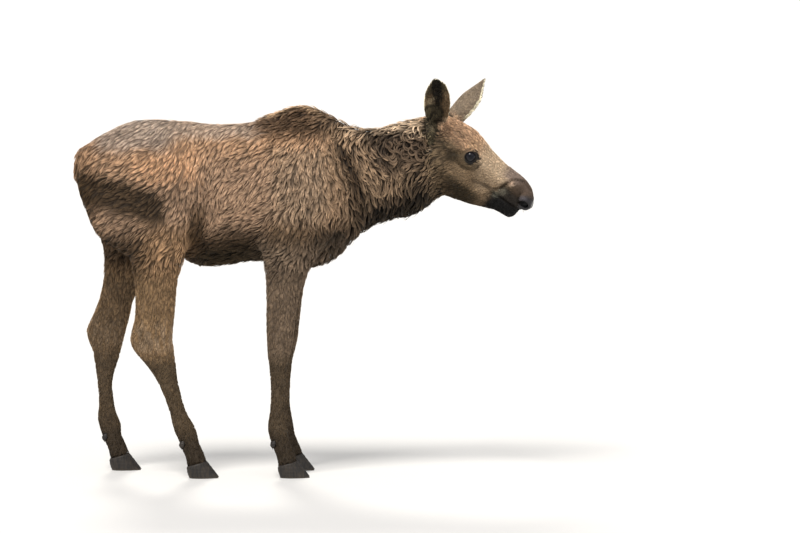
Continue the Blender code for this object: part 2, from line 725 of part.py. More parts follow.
def feet(found):
    """The cloven hooves and dewclaws of each foot, with the cannon cut to take them."""
    made = {}
    for foot, (leg_name, heel, y) in FEET.items():
        leg = found[leg_name]
        trimmed(leg, (heel, y, CORONET_REAR), -CORONET_NORMAL)
        for way, word in ((-1.0, "inner"), (1.0, "outer")):
            out = math.copysign(1.0, y) * way
            middle = y + out * (HOOF_HALF_WIDTH + HOOF_SPLIT / 2)
            made[f"hoof_{foot}_{word}"] = claw(f"hoof_{foot}_{word}", heel, middle, out)
            place = (heel - 0.010, y + out * 0.0125, DEWCLAW_HEIGHT)
            made[f"dewclaw_{foot}_{word}"] = dewclaw(f"dewclaw_{foot}_{word}", *place)
            socket = dewclaw("socket", *place)
            socket.data.transform(
                Matrix.Translation(place) @ Matrix.Scale(1.06, 4) @ Matrix.Translation(-Vector(place))
            )
            cut(leg, socket)
    return made


def eyes(head):
    made = {}
    for side, word in ((-1.0, "right"), (1.0, "left")):
        middle = on_head(EYE_PLACE[0], EYE_PLACE[1] * side, EYE_PLACE[2])[0]
        made[f"eye_{word}"] = ball(f"eye_{word}", middle, (EYE_RADIUS,) * 3, head_matrix(), 12, 8)
        cut(head, ball("socket", middle, (EYE_RADIUS + GAP,) * 3, head_matrix(), 12, 8))
    return made


def mouth_and_nostrils(head):
    """A thin wedge between the lips, and the two nostril hollows."""
    rows = []
    for s, half in ((0.222, 0.0003), (0.262, 0.0006), (0.300, 0.0011), (0.345, 0.0020)):
        for up in (-0.0835 - half, -0.0835 + half):
            rows.append([on_head(s, side, up)[0] for side in (-0.06, 0.06)])
    points = [p for row in rows for p in row]
    faces = [(0, 1, 3, 2), (12, 14, 15, 13)]
    for i in range(3):
        a, b = i * 4, (i + 1) * 4
        faces += [(a, b, b + 1, a + 1), (a + 2, a + 3, b + 3, b + 2)]
        faces += [(a, a + 2, b + 2, b), (a + 1, b + 1, b + 3, a + 3)]
    wedge = mesh_object("wedge", points, faces)
    face_outwards(wedge)
    cut(head, wedge)
    for side in (-1.0, 1.0):
        middle = on_head(0.3085, 0.0335 * side, -0.0620)[0]
        turn = head_matrix() @ Matrix.Rotation(side * math.radians(-28), 3, "Z")
        cut(head, ball("hollow", middle, (0.0135, 0.0100, 0.0065), turn, 16, 10))


def material(name, colour, roughness):
    made = bpy.data.materials.new(name)
    made.use_nodes = True
    shader = made.node_tree.nodes["Principled BSDF"]
    shader.inputs["Base Color"].default_value = (*colour, 1.0)
    shader.inputs["Roughness"].default_value = roughness
    shader.inputs["Metallic"].default_value = 0.0
    return made


def finish(found):
    looks = {
        "brown_coat": material("brown_coat", COAT_BROWN, 0.85),
        "dark_leg_coat": material("dark_leg_coat", LEG_BROWN, 0.85),
        "face_coat": material("face_coat", FACE_TAN, 0.85),
        "eye": material("eye", NEAR_BLACK, 0.08),
        "hoof_horn": material("hoof_horn", HORN_GREY, 0.45),
    }
    for name, obj in found.items():
        if name.startswith("eye"):
            look = "eye"
        elif name.startswith(("hoof", "dewclaw")):
            look = "hoof_horn"
        elif "cannon" in name:
            look = "dark_leg_coat"
        elif name.startswith(("head", "ear")):
            look = "face_coat"
        else:
            look = "brown_coat"
        obj.data.materials.clear()
        obj.data.materials.append(looks[look])
        obj.data.shade_smooth()
        obj.data.set_sharp_from_angle(angle=math.radians(40))


def centre(objects):
    """Moves everything so that the origin is under the middle of the bounding box."""
    points = np.vstack([mesh_points(obj.data) for obj in objects])
    low, high = points.min(0), points.max(0)
    shift = Matrix.Translation((-(low[0] + high[0]) / 2, -(low[1] + high[1]) / 2, -low[2]))
    for obj in objects:
        obj.data.transform(shift)
        obj.data.update()


def main():
    for obj in list(bpy.data.objects):
        bpy.data.objects.remove(obj)
    body = whole_body()
    part_body(body)
    found = named_pieces(loose_pieces(body))
    found.update(feet(found))
    found.update(eyes(found["head"]))
    mouth_and_nostrils(found["head"])
    for name, frame in ear_frames().items():
        found[name] = ear(name, frame)
        base, axis = frame[0], frame[1]
        depth = 0.06
        cut(found["head"], slab(base + axis * (EAR_TRIM - GAP + depth / 2), axis, (0.030, 0.030), depth))
    found["tail"] = tail("tail")
    cut(found["trunk"], tail("tail_groove", GAP))
    centre(found.values())
    finish(found)


main()
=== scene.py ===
import json
import math
import time

import bmesh
import bpy
import numpy as np
from mathutils import Matrix, Vector
from mathutils.bvhtree import BVHTree
from mathutils.kdtree import KDTree

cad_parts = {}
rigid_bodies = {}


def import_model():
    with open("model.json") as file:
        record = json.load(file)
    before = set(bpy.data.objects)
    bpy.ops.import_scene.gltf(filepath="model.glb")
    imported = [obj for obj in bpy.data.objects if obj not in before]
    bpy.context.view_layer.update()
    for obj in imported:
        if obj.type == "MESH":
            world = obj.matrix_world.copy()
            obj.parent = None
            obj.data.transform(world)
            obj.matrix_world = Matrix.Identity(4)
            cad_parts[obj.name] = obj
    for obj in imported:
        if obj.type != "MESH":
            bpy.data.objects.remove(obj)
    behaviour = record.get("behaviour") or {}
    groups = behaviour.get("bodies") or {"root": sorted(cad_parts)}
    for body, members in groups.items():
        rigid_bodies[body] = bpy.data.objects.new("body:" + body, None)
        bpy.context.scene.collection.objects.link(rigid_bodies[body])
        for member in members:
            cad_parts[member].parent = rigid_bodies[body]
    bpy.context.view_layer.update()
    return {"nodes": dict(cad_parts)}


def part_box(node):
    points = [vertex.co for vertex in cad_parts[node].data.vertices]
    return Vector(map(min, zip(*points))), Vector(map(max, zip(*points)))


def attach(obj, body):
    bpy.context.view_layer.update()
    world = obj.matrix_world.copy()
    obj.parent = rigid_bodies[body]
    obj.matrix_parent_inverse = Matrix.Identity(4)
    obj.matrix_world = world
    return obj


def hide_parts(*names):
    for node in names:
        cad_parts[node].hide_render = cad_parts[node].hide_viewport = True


for leftover in list(bpy.data.objects):
    bpy.data.objects.remove(leftover)

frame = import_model()
startTime = time.time()


def say(text):
    print(f"[calf {time.time() - startTime:6.1f}s] {text}", flush=True)


# The trunk gives the middle plane; the eyes and the head's slope give the head's frame
trunkLow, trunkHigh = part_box("trunk")
midY = (trunkLow.y + trunkHigh.y) / 2
eyeBoxes = {side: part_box("eye_" + side) for side in ("left", "right")}
eyeCentres = {side: (low + high) / 2 for side, (low, high) in eyeBoxes.items()}
eyeRadius = (eyeBoxes["left"][1].z - eyeBoxes["left"][0].z) / 2

headShape = {"pitch": 36.0, "yaw": 7.0, "eyeAlong": 0.12, "eyeUp": -0.042}


def headAxes():
    pitch, yaw = math.radians(headShape["pitch"]), math.radians(headShape["yaw"])
    turn = Matrix.Rotation(-yaw, 3, "Z")
    along = turn @ Vector((math.cos(pitch), 0, -math.sin(pitch)))
    side = turn @ Vector((0, 1, 0))
    up = turn @ Vector((math.sin(pitch), 0, math.cos(pitch)))
    return np.array([along, side, up])


headTurn = headAxes()
eyesMiddle = np.array(eyeCentres["left"] + eyeCentres["right"]) / 2
headOrigin = eyesMiddle - headTurn.T @ np.array([headShape["eyeAlong"], 0.0, headShape["eyeUp"]])


def toHead(points):
    return (points - headOrigin) @ headTurn.T


def fromHead(points):
    return np.asarray(points, float) @ headTurn + headOrigin


# Camera, floor and light
view = {"target": (0.2546, 0.0, 0.5513), "elevation": 5.0, "distance": 12.0, "widthSeen": 2.105}


def addCamera():
    data = bpy.data.cameras.new("camera")
    data.sensor_width = 36.0
    data.lens = data.sensor_width * view["distance"] / view["widthSeen"]
    camera = bpy.data.objects.new("camera", data)
    bpy.context.scene.collection.objects.link(camera)
    tilt = math.radians(view["elevation"])
    x, y, z = view["target"]
    camera.location = (x, y - view["distance"] * math.cos(tilt), z + view["distance"] * math.sin(tilt))
    camera.rotation_euler = (math.pi / 2 - tilt, 0, 0)
    data.clip_end = 500.0
    bpy.context.scene.camera = camera


studio = {
    "floorHalfSize": 150.0, "floorColour": (0.72, 0.71, 0.69, 1.0),
    "skyColour": (0.92, 0.94, 1.0, 1.0), "skyStrength": 0.46,
    "keyStrength": 2.9, "keySoftness": 22.0, "keyTilt": (32.0, 0.0, -24.0),
    "fillStrength": 0.35, "fillSoftness": 60.0, "fillTilt": (66.0, 0.0, 35.0),
    "rimStrength": 1.35, "rimSoftness": 12.0, "rimTilt": (-52.0, 0.0, 8.0),
}


def addSun(name, strength, softness, tilt, colour=(1, 1, 1)):
    data = bpy.data.lights.new(name, "SUN")
    data.energy = strength
    data.angle = math.radians(softness)
    data.color = colour
    lamp = bpy.data.objects.new(name, data)
    lamp.rotation_euler = [math.radians(a) for a in tilt]
    bpy.context.scene.collection.objects.link(lamp)


def addStudio():
    half = studio["floorHalfSize"]
    corners = [(-half, -half, 0), (half, -half, 0), (half, half, 0), (-half, half, 0)]
    mesh = bpy.data.meshes.new("floor")
    mesh.from_pydata(corners, [], [(0, 1, 2, 3)])
    floor = bpy.data.objects.new("floor", mesh)
    bpy.context.scene.collection.objects.link(floor)
    material = bpy.data.materials.new("studioFloor")
    material.use_nodes = True
    shader = material.node_tree.nodes["Principled BSDF"]
    shader.inputs["Base Color"].default_value = studio["floorColour"]
    shader.inputs["Roughness"].default_value = 0.9
    mesh.materials.append(material)
    world = bpy.data.worlds.new("studioSky")
    world.use_nodes = True
    world.node_tree.nodes["Background"].inputs["Color"].default_value = studio["skyColour"]
    world.node_tree.nodes["Background"].inputs["Strength"].default_value = studio["skyStrength"]
    bpy.context.scene.world = world
    addSun("keySun", studio["keyStrength"], studio["keySoftness"], studio["keyTilt"], (1.0, 0.97, 0.93))
    addSun("fillSun", studio["fillStrength"], studio["fillSoftness"], studio["fillTilt"])
    addSun("rimSun", studio["rimStrength"], studio["rimSoftness"], studio["rimTilt"], (1.0, 0.97, 0.9))
    bpy.context.scene.view_settings.view_transform = "Standard"


addCamera()
addStudio()
say("camera and studio")


# Small helpers for meshes held as arrays
def fadeIn(value, low, high):
    # 0 up to low, 1 from high on
    t = np.clip((value - low) / (high - low), 0.0, 1.0)
    return t * t * (3.0 - 2.0 * t)


def fadeOut(value, low, high):
    return 1 - fadeIn(value, low, high)


def bell(value, width):
    return np.exp(-((value / width) ** 2))


def readArray(items, key, width, kind=np.float32):
    flat = np.empty(width * len(items), kind)
    items.foreach_get(key, flat)
    return flat.reshape(-1, width)


def pointsOf(mesh):
    return readArray(mesh.vertices, "co", 3).astype(float)


def setPoints(mesh, points):
    mesh.vertices.foreach_set("co", points.astype(np.float32).ravel())
    mesh.update()


def normalsOf(mesh):
    return readArray(mesh.vertex_normals, "vector", 3).astype(float)


def edgesOf(mesh):
    return readArray(mesh.edges, "vertices", 2, np.int32)


def evened(values, edges, rounds, weight):
    # moves each value towards the mean of its neighbours, rounds times
    values = values.copy()
    count = len(values)
    links = np.bincount(edges.ravel(), minlength=count).clip(1)
    for _ in range(rounds):
        mean = np.empty_like(values)
        for c in range(values.shape[1]):
            total = np.bincount(edges[:, 0], values[edges[:, 1], c], count)
            total += np.bincount(edges[:, 1], values[edges[:, 0], c], count)
            mean[:, c] = total / links
        values += (mean - values) * weight
    return values


def addObject(name, mesh):
    made = bpy.data.objects.new(name, mesh)
    bpy.context.scene.collection.objects.link(made)
    return made


def addAttribute(mesh, name, values, kind="FLOAT"):
    key = "vector" if kind == "FLOAT_VECTOR" else "value"
    mesh.attributes.new(name, kind, "POINT").data.foreach_set(key, np.asarray(values, np.float32).ravel())


def applied(obj):
    bpy.context.view_layer.update()
    mesh = bpy.data.meshes.new_from_object(obj.evaluated_get(bpy.context.evaluated_depsgraph_get()))
    obj.modifiers.clear()
    obj.data = mesh
    return obj


def remeshed(obj, voxel):
    modifier = obj.modifiers.new("even", "REMESH")
    modifier.mode = "VOXEL"
    modifier.voxel_size = voxel
    return applied(obj)


def thinned(obj, faces, group=None):
    # fewer triangles, taken from the points of a group if one is named
    fewer = obj.modifiers.new("fewer", "DECIMATE")
    fewer.ratio = min(1.0, faces / sum(len(p.vertices) - 2 for p in obj.data.polygons))
    if group:
        fewer.vertex_group = group
        fewer.vertex_group_factor = 0.0
    fewer.use_collapse_triangulate = True
    return applied(obj)


def partOf(name, push=None):
    # one node of the solids with its corners joined, pushed out a little if asked
    part = bmesh.new()
    part.from_mesh(frame["nodes"][name].data)
    bmesh.ops.remove_doubles(part, verts=part.verts, dist=1e-5)
    part.normal_update()
    if push:
        for vert in part.verts:
            vert.co += vert.normal * push
    mesh = bpy.data.meshes.new("part")
    part.to_mesh(mesh)
    part.free()
    return mesh


def joined(name, meshes):
    # one object from several meshes, which are used up
    whole = bmesh.new()
    for mesh in meshes:
        whole.from_mesh(mesh)
        bpy.data.meshes.remove(mesh)
    made = bpy.data.meshes.new(name)
    whole.to_mesh(made)
    whole.free()
    return addObject(name, made)


def unit(vectors):
    return vectors / np.linalg.norm(vectors, axis=-1, keepdims=True).clip(1e-9)


# What each part of the body is, as soft masks from 0 to 1
neckLean, headLevel, neckLevel = 0.17, 0.84, 0.77


def leaning(x, z, level):
    # how far a place lies before the planes that lean with the neck
    return x + neckLean * (z - level)


def bodyMasks(points):
    x, z = points[:, 0], points[:, 2]
    head = fadeIn(leaning(x, z, headLevel), 0.325, 0.375)
    leg = fadeOut(z, 0.5, 0.6)
    return {
        "head": head, "leg": leg,
        "neck": fadeIn(leaning(x, z, neckLevel), 0.07, 0.15) * (1 - head),
        "shank": fadeOut(z, 0.3, 0.42), "foot": fadeOut(z, 0.09, 0.15),
        "belly": fadeOut(z, 0.56, 0.62) * (1 - leg),
        "hump": fadeIn(z, 0.92, 0.97) * fadeIn(x, -0.16, -0.06) * fadeOut(x, 0.08, 0.16),
        "brisket": fadeOut(z, 0.58, 0.7) * fadeIn(x, 0.03, 0.09) * (1 - head),
    }


# One skin over all the flesh, as deep below the solids as the coat is at each place
skin = {
    "voxel": 0.0028, "closing": 0.0008, "rounds": 26, "faces": 185000,
    "coatDepth": {
        "trunk": 0.007, "hump": 0.01, "neck": 0.011, "leg": 0.0035, "shank": 0.0022, "belly": 0.011,
        "brisket": 0.014, "head": 0.0016, "ear": 0.0006,
    },
}
fleshNodes = sorted(n for n in frame["nodes"] if not n.startswith(("eye", "hoof", "dewclaw")))


def joinedFlesh():
    # the flesh and the eyes, the flesh pushed out a little so that the thin cuts between its nodes close
    flesh = [partOf(name, skin["closing"]) for name in fleshNodes]
    return joined("calfSkin", flesh + [partOf("eye_left"), partOf("eye_right")])


def earFrames():
    # root, axis and length of each ear, from its node's points
    found = {}
    for side in ("left", "right"):
        points = pointsOf(frame["nodes"]["ear_" + side].data)
        tip = points[np.argmax(np.linalg.norm(points - headOrigin, axis=1))]
        axis = unit(tip - points.mean(0))
        length = -((points - tip) @ axis).min()
        found[side] = {"axis": axis, "length": length, "root": tip - axis * length}
    return found


ears = earFrames()


def earMask(points):
    # 1 on the ears, 0 on the head, with the distance along the ear from its root
    mask = np.zeros(len(points))
    along = np.zeros(len(points))
    which = np.zeros(len(points), int)
    for number, side in enumerate(("left", "right")):
        ear = ears[side]
        run = (points - ear["root"]) @ ear["axis"]
        off = np.linalg.norm(points - ear["root"] - run[:, None] * ear["axis"], axis=1)
        inside = fadeIn(run, -0.012, 0.012) * fadeOut(off, 0.055, 0.06)
        better = inside > mask
        mask[better], along[better], which[better] = inside[better], run[better] / ear["length"], number
    return mask, along, which


def insetDepth(points):
    # how far below the solids the skin lies
    m = bodyMasks(points)
    d = skin["coatDepth"]
    depth = np.full(len(points), d["trunk"])
    for name in ("hump", "neck", "belly", "brisket", "leg", "shank", "head"):
        depth += (d[name] - depth) * m[name]
    ear, _, _ = earMask(points)
    return depth + (d["ear"] - depth) * ear


# The eye openings: half sizes as seen from outside, how far the lids stand out and lie in, and their tilt
lids = {"halfWide": 0.0149, "halfHigh": 0.0133, "corner": 1.9, "rim": 0.0016, "sink": 0.0022, "reach": 0.026,
        "tilt": 30.0}


def eyeAxes(side):
    # outwards, forwards to the nose and up, for one eye
    out = headTurn[1] * (1 if side == "left" else -1)
    out = unit(out + headTurn[0] * 0.22 + headTurn[2] * 0.06)
    tilt = math.radians(lids["tilt"])
    fore = unit(headTurn[0] * math.cos(tilt) + headTurn[2] * math.sin(tilt))
    fore = unit(fore - out * (fore @ out))
    up = np.cross(fore, out) * (1 if side == "left" else -1)
    up = up if up @ headTurn[2] > 0 else -up
    return out, fore, up


def fromEye(points, side):
    # the eye's axes, with the offsets of the points from its centre and their lengths
    offset = points - np.array(eyeCentres[side])
    return *eyeAxes(side), offset, np.linalg.norm(offset, axis=1)


def lidRing(a, b):
    # 1 along the opening's edge: an almond whose upper lid is rounder and whose front corner is drawn out
    wide = lids["halfWide"] * np.where(a > 0, 1.08, 0.97)
    high = lids["halfHigh"] * np.where(b > 0, 1.0, 0.9)
    power = lids["corner"]
    return ((np.abs(a) / wide) ** power + (np.abs(b) / high) ** power) ** (1 / power)


def shapeLids(points):
    points = points.copy()
    for side in eyeCentres:
        out, fore, up, offset, distance = fromEye(points, side)
        near = np.where((distance < 0.04) & (offset @ out > -0.002))[0]
        way = offset[near] / distance[near, None]
        flat = way * np.minimum(distance[near], eyeRadius * 1.8)[:, None]
        a, b = flat @ fore, flat @ up
        openness = lidRing(a, b) - 1
        now = distance[near]
        edge = fadeIn(openness * 0.75, -0.05, 0.07)
        inner = eyeRadius - lids["sink"]
        lidTop = eyeRadius + lids["rim"]
        fade = fadeIn(openness, 0.2, 0.75)
        outer = lidTop + 0.001 * bell(openness - 0.13, 0.12)
        outer = np.maximum(outer, np.minimum(now, lidTop + 0.004))
        outer = outer + (now - outer) * fade
        radius = inner + (outer - inner) * edge
        blend = fadeOut(now, lids["reach"], 0.036)
        radius = now + (radius - now) * blend
        points[near] = np.array(eyeCentres[side]) + way * radius[:, None]
    return points


# Lines and hollows of the face, in the head's frame: along, side, up
face = {
    "muzzle": [0.285, 0.0, -0.07],
    "mouth": [(0.322, -0.081), (0.303, -0.0822), (0.28, -0.0832), (0.252, -0.0855), (0.2245, -0.088)],
    "mouthWide": 0.0026, "mouthDeep": 0.004,
    "nostril": (0.305, -0.062), "nostrilHalf": (0.015, 0.0092), "nostrilDeep": 0.013, "nostrilTurn": 14.0,
    "swellings": [((0.2975, -0.0495), (0.017, 0.0075), 0.0036), ((0.264, -0.04), (0.023, 0.016), 0.007)],
    "earFoot": {"line": [(-0.02, -0.012), (-0.004, -0.035), (0.017, -0.068)], "wide": (0.024, 0.01),
                "edge": 0.0046, "high": 0.007, "deep": 0.0055},
    "folds": [
        # around the swelling over the nostril, behind it, the cheek, the mouth's corner, and around the eye
        ([(0.233, -0.064), (0.238, -0.046), (0.246, -0.03), (0.259, -0.02), (0.276, -0.015), (0.298, -0.02)],
         0.0048, 0.0062),
        ([(0.284, -0.046), (0.286, -0.056), (0.29, -0.066), (0.298, -0.074)], 0.0034, 0.004),
        ([(0.24, -0.048), (0.233, -0.064), (0.218, -0.078), (0.191, -0.085), (0.164, -0.089)],
         0.0062, 0.0044),
        ([(0.2245, -0.088), (0.214, -0.098), (0.208, -0.108)], 0.005, 0.0034),
        ([(0.156, -0.044), (0.15, -0.066), (0.124, -0.078), (0.098, -0.076)], 0.0046, 0.0036),
        ([(0.15, -0.054), (0.176, -0.064), (0.2, -0.078)], 0.009, 0.0026),
        ([(0.082, -0.018), (0.106, -0.01), (0.132, -0.016), (0.15, -0.032)], 0.0048, 0.003),
        ([(0.092, -0.05), (0.078, -0.058), (0.056, -0.066)], 0.007, 0.0044),
    ],
    "ridges": [
        ([(0.271, -0.064), (0.286, -0.071), (0.3, -0.076)], 0.004, 0.0022),
        ([(0.088, -0.026), (0.108, -0.02), (0.13, -0.025)], 0.005, 0.0022),
        ([(0.148, -0.062), (0.132, -0.068), (0.112, -0.068)], 0.004, 0.0018),
        ([(0.225, -0.068), (0.21, -0.075), (0.188, -0.077)], 0.006, 0.0028),
    ],
}


def lineDistance(points, line):
    # distance from a bent line, and the share of its length at the nearest place
    best = np.full(len(points), 1e9)
    share = np.zeros(len(points))
    lengths = [np.hypot(b[0] - a[0], b[1] - a[1]) for a, b in zip(line, line[1:])]
    run, total = 0.0, sum(lengths)
    for (a, b), length in zip(zip(line, line[1:]), lengths):
        way = (np.array(b) - np.array(a)) / length
        t = np.clip((points - np.array(a)) @ way, 0, length)
        off = np.linalg.norm(points - np.array(a) - t[:, None] * way, axis=1)
        closer = off < best
        best[closer], share[closer] = off[closer], (run + t[closer]) / total
        run += length
    return best, share


def earFootPlace(points):
    # distance from the middle of an ear's foot, place along it and its half width there; the line is the
    # right ear's and shifts to the root of the left one
    h = toHead(points)
    left, right = (toHead(ears[side]["root"][None])[0] for side in ("left", "right"))
    shift = (left - right)[[0, 2]]
    funnel = face["earFoot"]
    off, share = lineDistance(h[:, [0, 2]] - shift * (h[:, 1] > 0)[:, None], funnel["line"])
    return off, share, funnel["wide"][0] + (funnel["wide"][1] - funnel["wide"][0]) * share


def shapeFace(points, normals):
    h = toHead(points)
    along, side, up = h[:, 0], h[:, 1], h[:, 2]
    moved = np.zeros(len(points))
    nearFace = (along > 0.03) & (np.abs(side) < 0.085) & (up < 0.05) & (points[:, 0] > 0.36)
    flat = np.column_stack([along, up])
    # mouth: a groove with a fuller lip above and below
    off, share = lineDistance(flat, face["mouth"])
    strength = nearFace * (np.abs(side) > 0.004) * (1 - 0.75 * fadeIn(share, 0.55, 1.0))
    moved -= face["mouthDeep"] * bell(off, face["mouthWide"]) * strength
    moved += 0.0012 * bell(off - 0.0075, 0.004) * strength
    # nostril: a slanting comma with a raised rim
    turn = math.radians(face["nostrilTurn"])
    dx, dz = along - face["nostril"][0], up - face["nostril"][1]
    u = dx * math.cos(turn) + dz * math.sin(turn)
    v = -dx * math.sin(turn) + dz * math.cos(turn) + 14.0 * u * u
    r = np.hypot(u / face["nostrilHalf"][0], v / face["nostrilHalf"][1])
    onSide = nearFace * fadeIn(np.abs(side), 0.012, 0.02)
    moved -= face["nostrilDeep"] * fadeOut(r, 0.45, 1.05) * onSide
    moved += 0.002 * bell(r - 1.3, 0.28) * onSide
    # the full wing over it and the swelling behind it
    for (x, z), (wide, high), raised in face["swellings"]:
        moved += raised * bell(np.hypot((along - x) / wide, (up - z) / high), 1) * onSide
    # soft folds and the skin that swells beside them
    for kind, sign in (("folds", -1.0), ("ridges", 1.0)):
        for line, wide, high in face[kind]:
            off, _ = lineDistance(flat, line)
            moved += sign * high * bell(off, wide) * nearFace * (np.abs(side) > 0.01)
    # the foot of each ear: two edges that run together down the side of the head, a hollow between them
    funnel = face["earFoot"]
    off, share, wide = earFootPlace(points)
    aside = fadeIn(np.abs(side), 0.01, 0.024) * (points[:, 0] > 0.28) * (1 - 0.3 * share)
    aside *= fadeOut(earMask(points)[0], 0.2, 0.7)
    edge = bell(off - wide, funnel["edge"])
    moved += (funnel["high"] * edge - funnel["deep"] * fadeOut(off, wide - 0.01, wide)) * aside
    # the groove between the nostrils and the dip along the bridge of the nose
    moved -= 0.0016 * bell(side, 0.0045) * fadeIn(along, 0.298, 0.312) * nearFace
    return points + normals * moved[:, None]


# Hollows and ridges of the body, the same on both sides: places (x, z), width and depth
relief = {
    "hollows": [
        ([(-0.246, 0.83), (-0.262, 0.76), (-0.276, 0.69), (-0.27, 0.62), (-0.262, 0.57)], 0.018, 0.009),
        ([(-0.59, 0.792), (-0.54, 0.768), (-0.48, 0.745), (-0.42, 0.712)], 0.026, 0.009),
        ([(-0.52, 0.7), (-0.5, 0.64), (-0.48, 0.59)], 0.022, 0.005),
        ([(-0.4, 0.6), (-0.38, 0.63), (-0.35, 0.64)], 0.016, 0.004),
        ([(-0.086, 0.655), (-0.098, 0.62), (-0.108, 0.575)], 0.014, 0.009),
        ([(-0.055, 0.86), (-0.062, 0.78), (-0.078, 0.69)], 0.03, 0.005),
        ([(0.076, 0.9), (0.098, 0.83), (0.116, 0.76), (0.126, 0.69), (0.12, 0.64)], 0.013, 0.008),
        ([(0.02, 0.615), (0.06, 0.6), (0.1, 0.615)], 0.014, 0.006),
        ([(0.33, 0.9), (0.318, 0.86), (0.322, 0.8), (0.338, 0.762)], 0.014, 0.004),
        ([(-0.3, 0.925), (-0.27, 0.895), (-0.255, 0.86)], 0.02, 0.004),
    ],
    "ridges": [
        ([(-0.375, 0.9), (-0.335, 0.885), (-0.305, 0.845), (-0.3, 0.79)], 0.02, 0.004),
        ([(-0.33, 0.69), (-0.325, 0.64)], 0.03, 0.004),
        ([(0.0, 0.88), (0.02, 0.78), (0.03, 0.7)], 0.03, 0.003),
    ],
}


def shapeBody(points, normals):
    flat = points[:, [0, 2]]
    onSide = fadeIn(np.abs(normals[:, 1]), 0.25, 0.75) * fadeIn(points[:, 2], 0.54, 0.58)
    moved = np.zeros(len(points))
    for kind, sign in (("hollows", -1.0), ("ridges", 1.0)):
        for line, wide, deep in relief[kind]:
            off, share = lineDistance(flat, line)
            ends = fadeIn(share, -0.15, 0.15) * (1 - 0.6 * fadeIn(share, 0.85, 1.0))
            moved += sign * deep * bell(off, wide) * ends
    return points + normals * (moved * onSide)[:, None]


# Where each ear starts to narrow, as a share of its length, and by how much; the left one ends in a point
earTaper = {"left": (0.5, 0.62), "right": (0.8, 0.2)}


def shapeEars(points):
    points = points.copy()
    ear, along, which = earMask(points)
    for number, side in enumerate(("left", "right")):
        start, pinch = earTaper[side]
        root, axis = ears[side]["root"], ears[side]["axis"]
        near = (which == number) & (ear > 0.3)
        run = (points[near] - root) @ axis
        line = root + run[:, None] * axis
        shrink = 1 - pinch * fadeIn(along[near], start, 1.02)
        points[near] = line + (points[near] - line) * shrink[:, None]
    return points


def refineAround(obj, spots):
    # splits the faces near the given places once or twice, so that small forms are clean
    bm = bmesh.new()
    bm.from_mesh(obj.data)
    for place, reach in spots:
        inside = {v for v in bm.verts if (v.co - place).length < reach}
        edges = [e for e in bm.edges if e.verts[0] in inside and e.verts[1] in inside]
        bmesh.ops.subdivide_edges(bm, edges=edges, cuts=1, use_grid_fill=True)
    bmesh.ops.triangulate(bm, faces=[f for f in bm.faces if len(f.verts) > 4])
    bm.to_mesh(obj.data)
    bm.free()


def reshaped(mesh, change):
    # moves the points by a function of the points and their normals
    setPoints(mesh, change(pointsOf(mesh), normalsOf(mesh)))


def buildSkin():
    obj = joinedFlesh()
    remeshed(obj, skin["voxel"])
    mesh = obj.data
    say(f"skin remeshed, {len(mesh.vertices)} points")
    points = pointsOf(mesh)
    m = bodyMasks(points)
    ear, _, _ = earMask(points)
    weight = (0.5 - 0.34 * m["leg"] - 0.3 * m["head"] * (1 - ear) - 0.44 * ear).clip(0.05, 0.5)
    setPoints(mesh, evened(points, edgesOf(mesh), skin["rounds"], weight[:, None]))
    reshaped(mesh, lambda points, normals: points - normals * insetDepth(points)[:, None])
    points = shapeEars(pointsOf(mesh))
    setPoints(mesh, points)
    setPoints(mesh, shapeBody(points, normalsOf(mesh)))
    spots = [(Vector(fromHead(face["muzzle"])), 0.07)]
    spots += [(centre, reach) for reach in (0.034, 0.026) for centre in eyeCentres.values()]
    refineAround(obj, spots)
    reshaped(mesh, shapeFace)
    reshaped(mesh, lambda points, normals: shapeLids(points))
    # fewer faces where the coat hides the skin
    points = pointsOf(mesh)
    plain = obj.vertex_groups.new(name="plain")
    keep = np.maximum(bodyMasks(points)["head"], earMask(points)[0]) > 0.5
    plain.add(np.where(~keep)[0].tolist(), 1.0, "REPLACE")
    thinned(obj, skin["faces"], "plain")
    obj.vertex_groups.clear()
    return obj


skinPiece = buildSkin()
say(f"skin of {len(skinPiece.data.polygons)} triangles")


# An unwrap of the skin, from which each tuft also takes its place
def unwrapSkin(obj):
    bpy.context.view_layer.objects.active = obj
    obj.select_set(True)
    obj.data.uv_layers.new(name="OFBake")
    bpy.ops.object.mode_set(mode="EDIT")
    bpy.ops.mesh.select_all(action="SELECT")
    bpy.ops.uv.smart_project(angle_limit=math.radians(75), island_margin=0.001, area_weight=0.4)
    bpy.ops.object.mode_set(mode="OBJECT")
    obj.select_set(False)


unwrapSkin(skinPiece)
say("skin unwrapped")


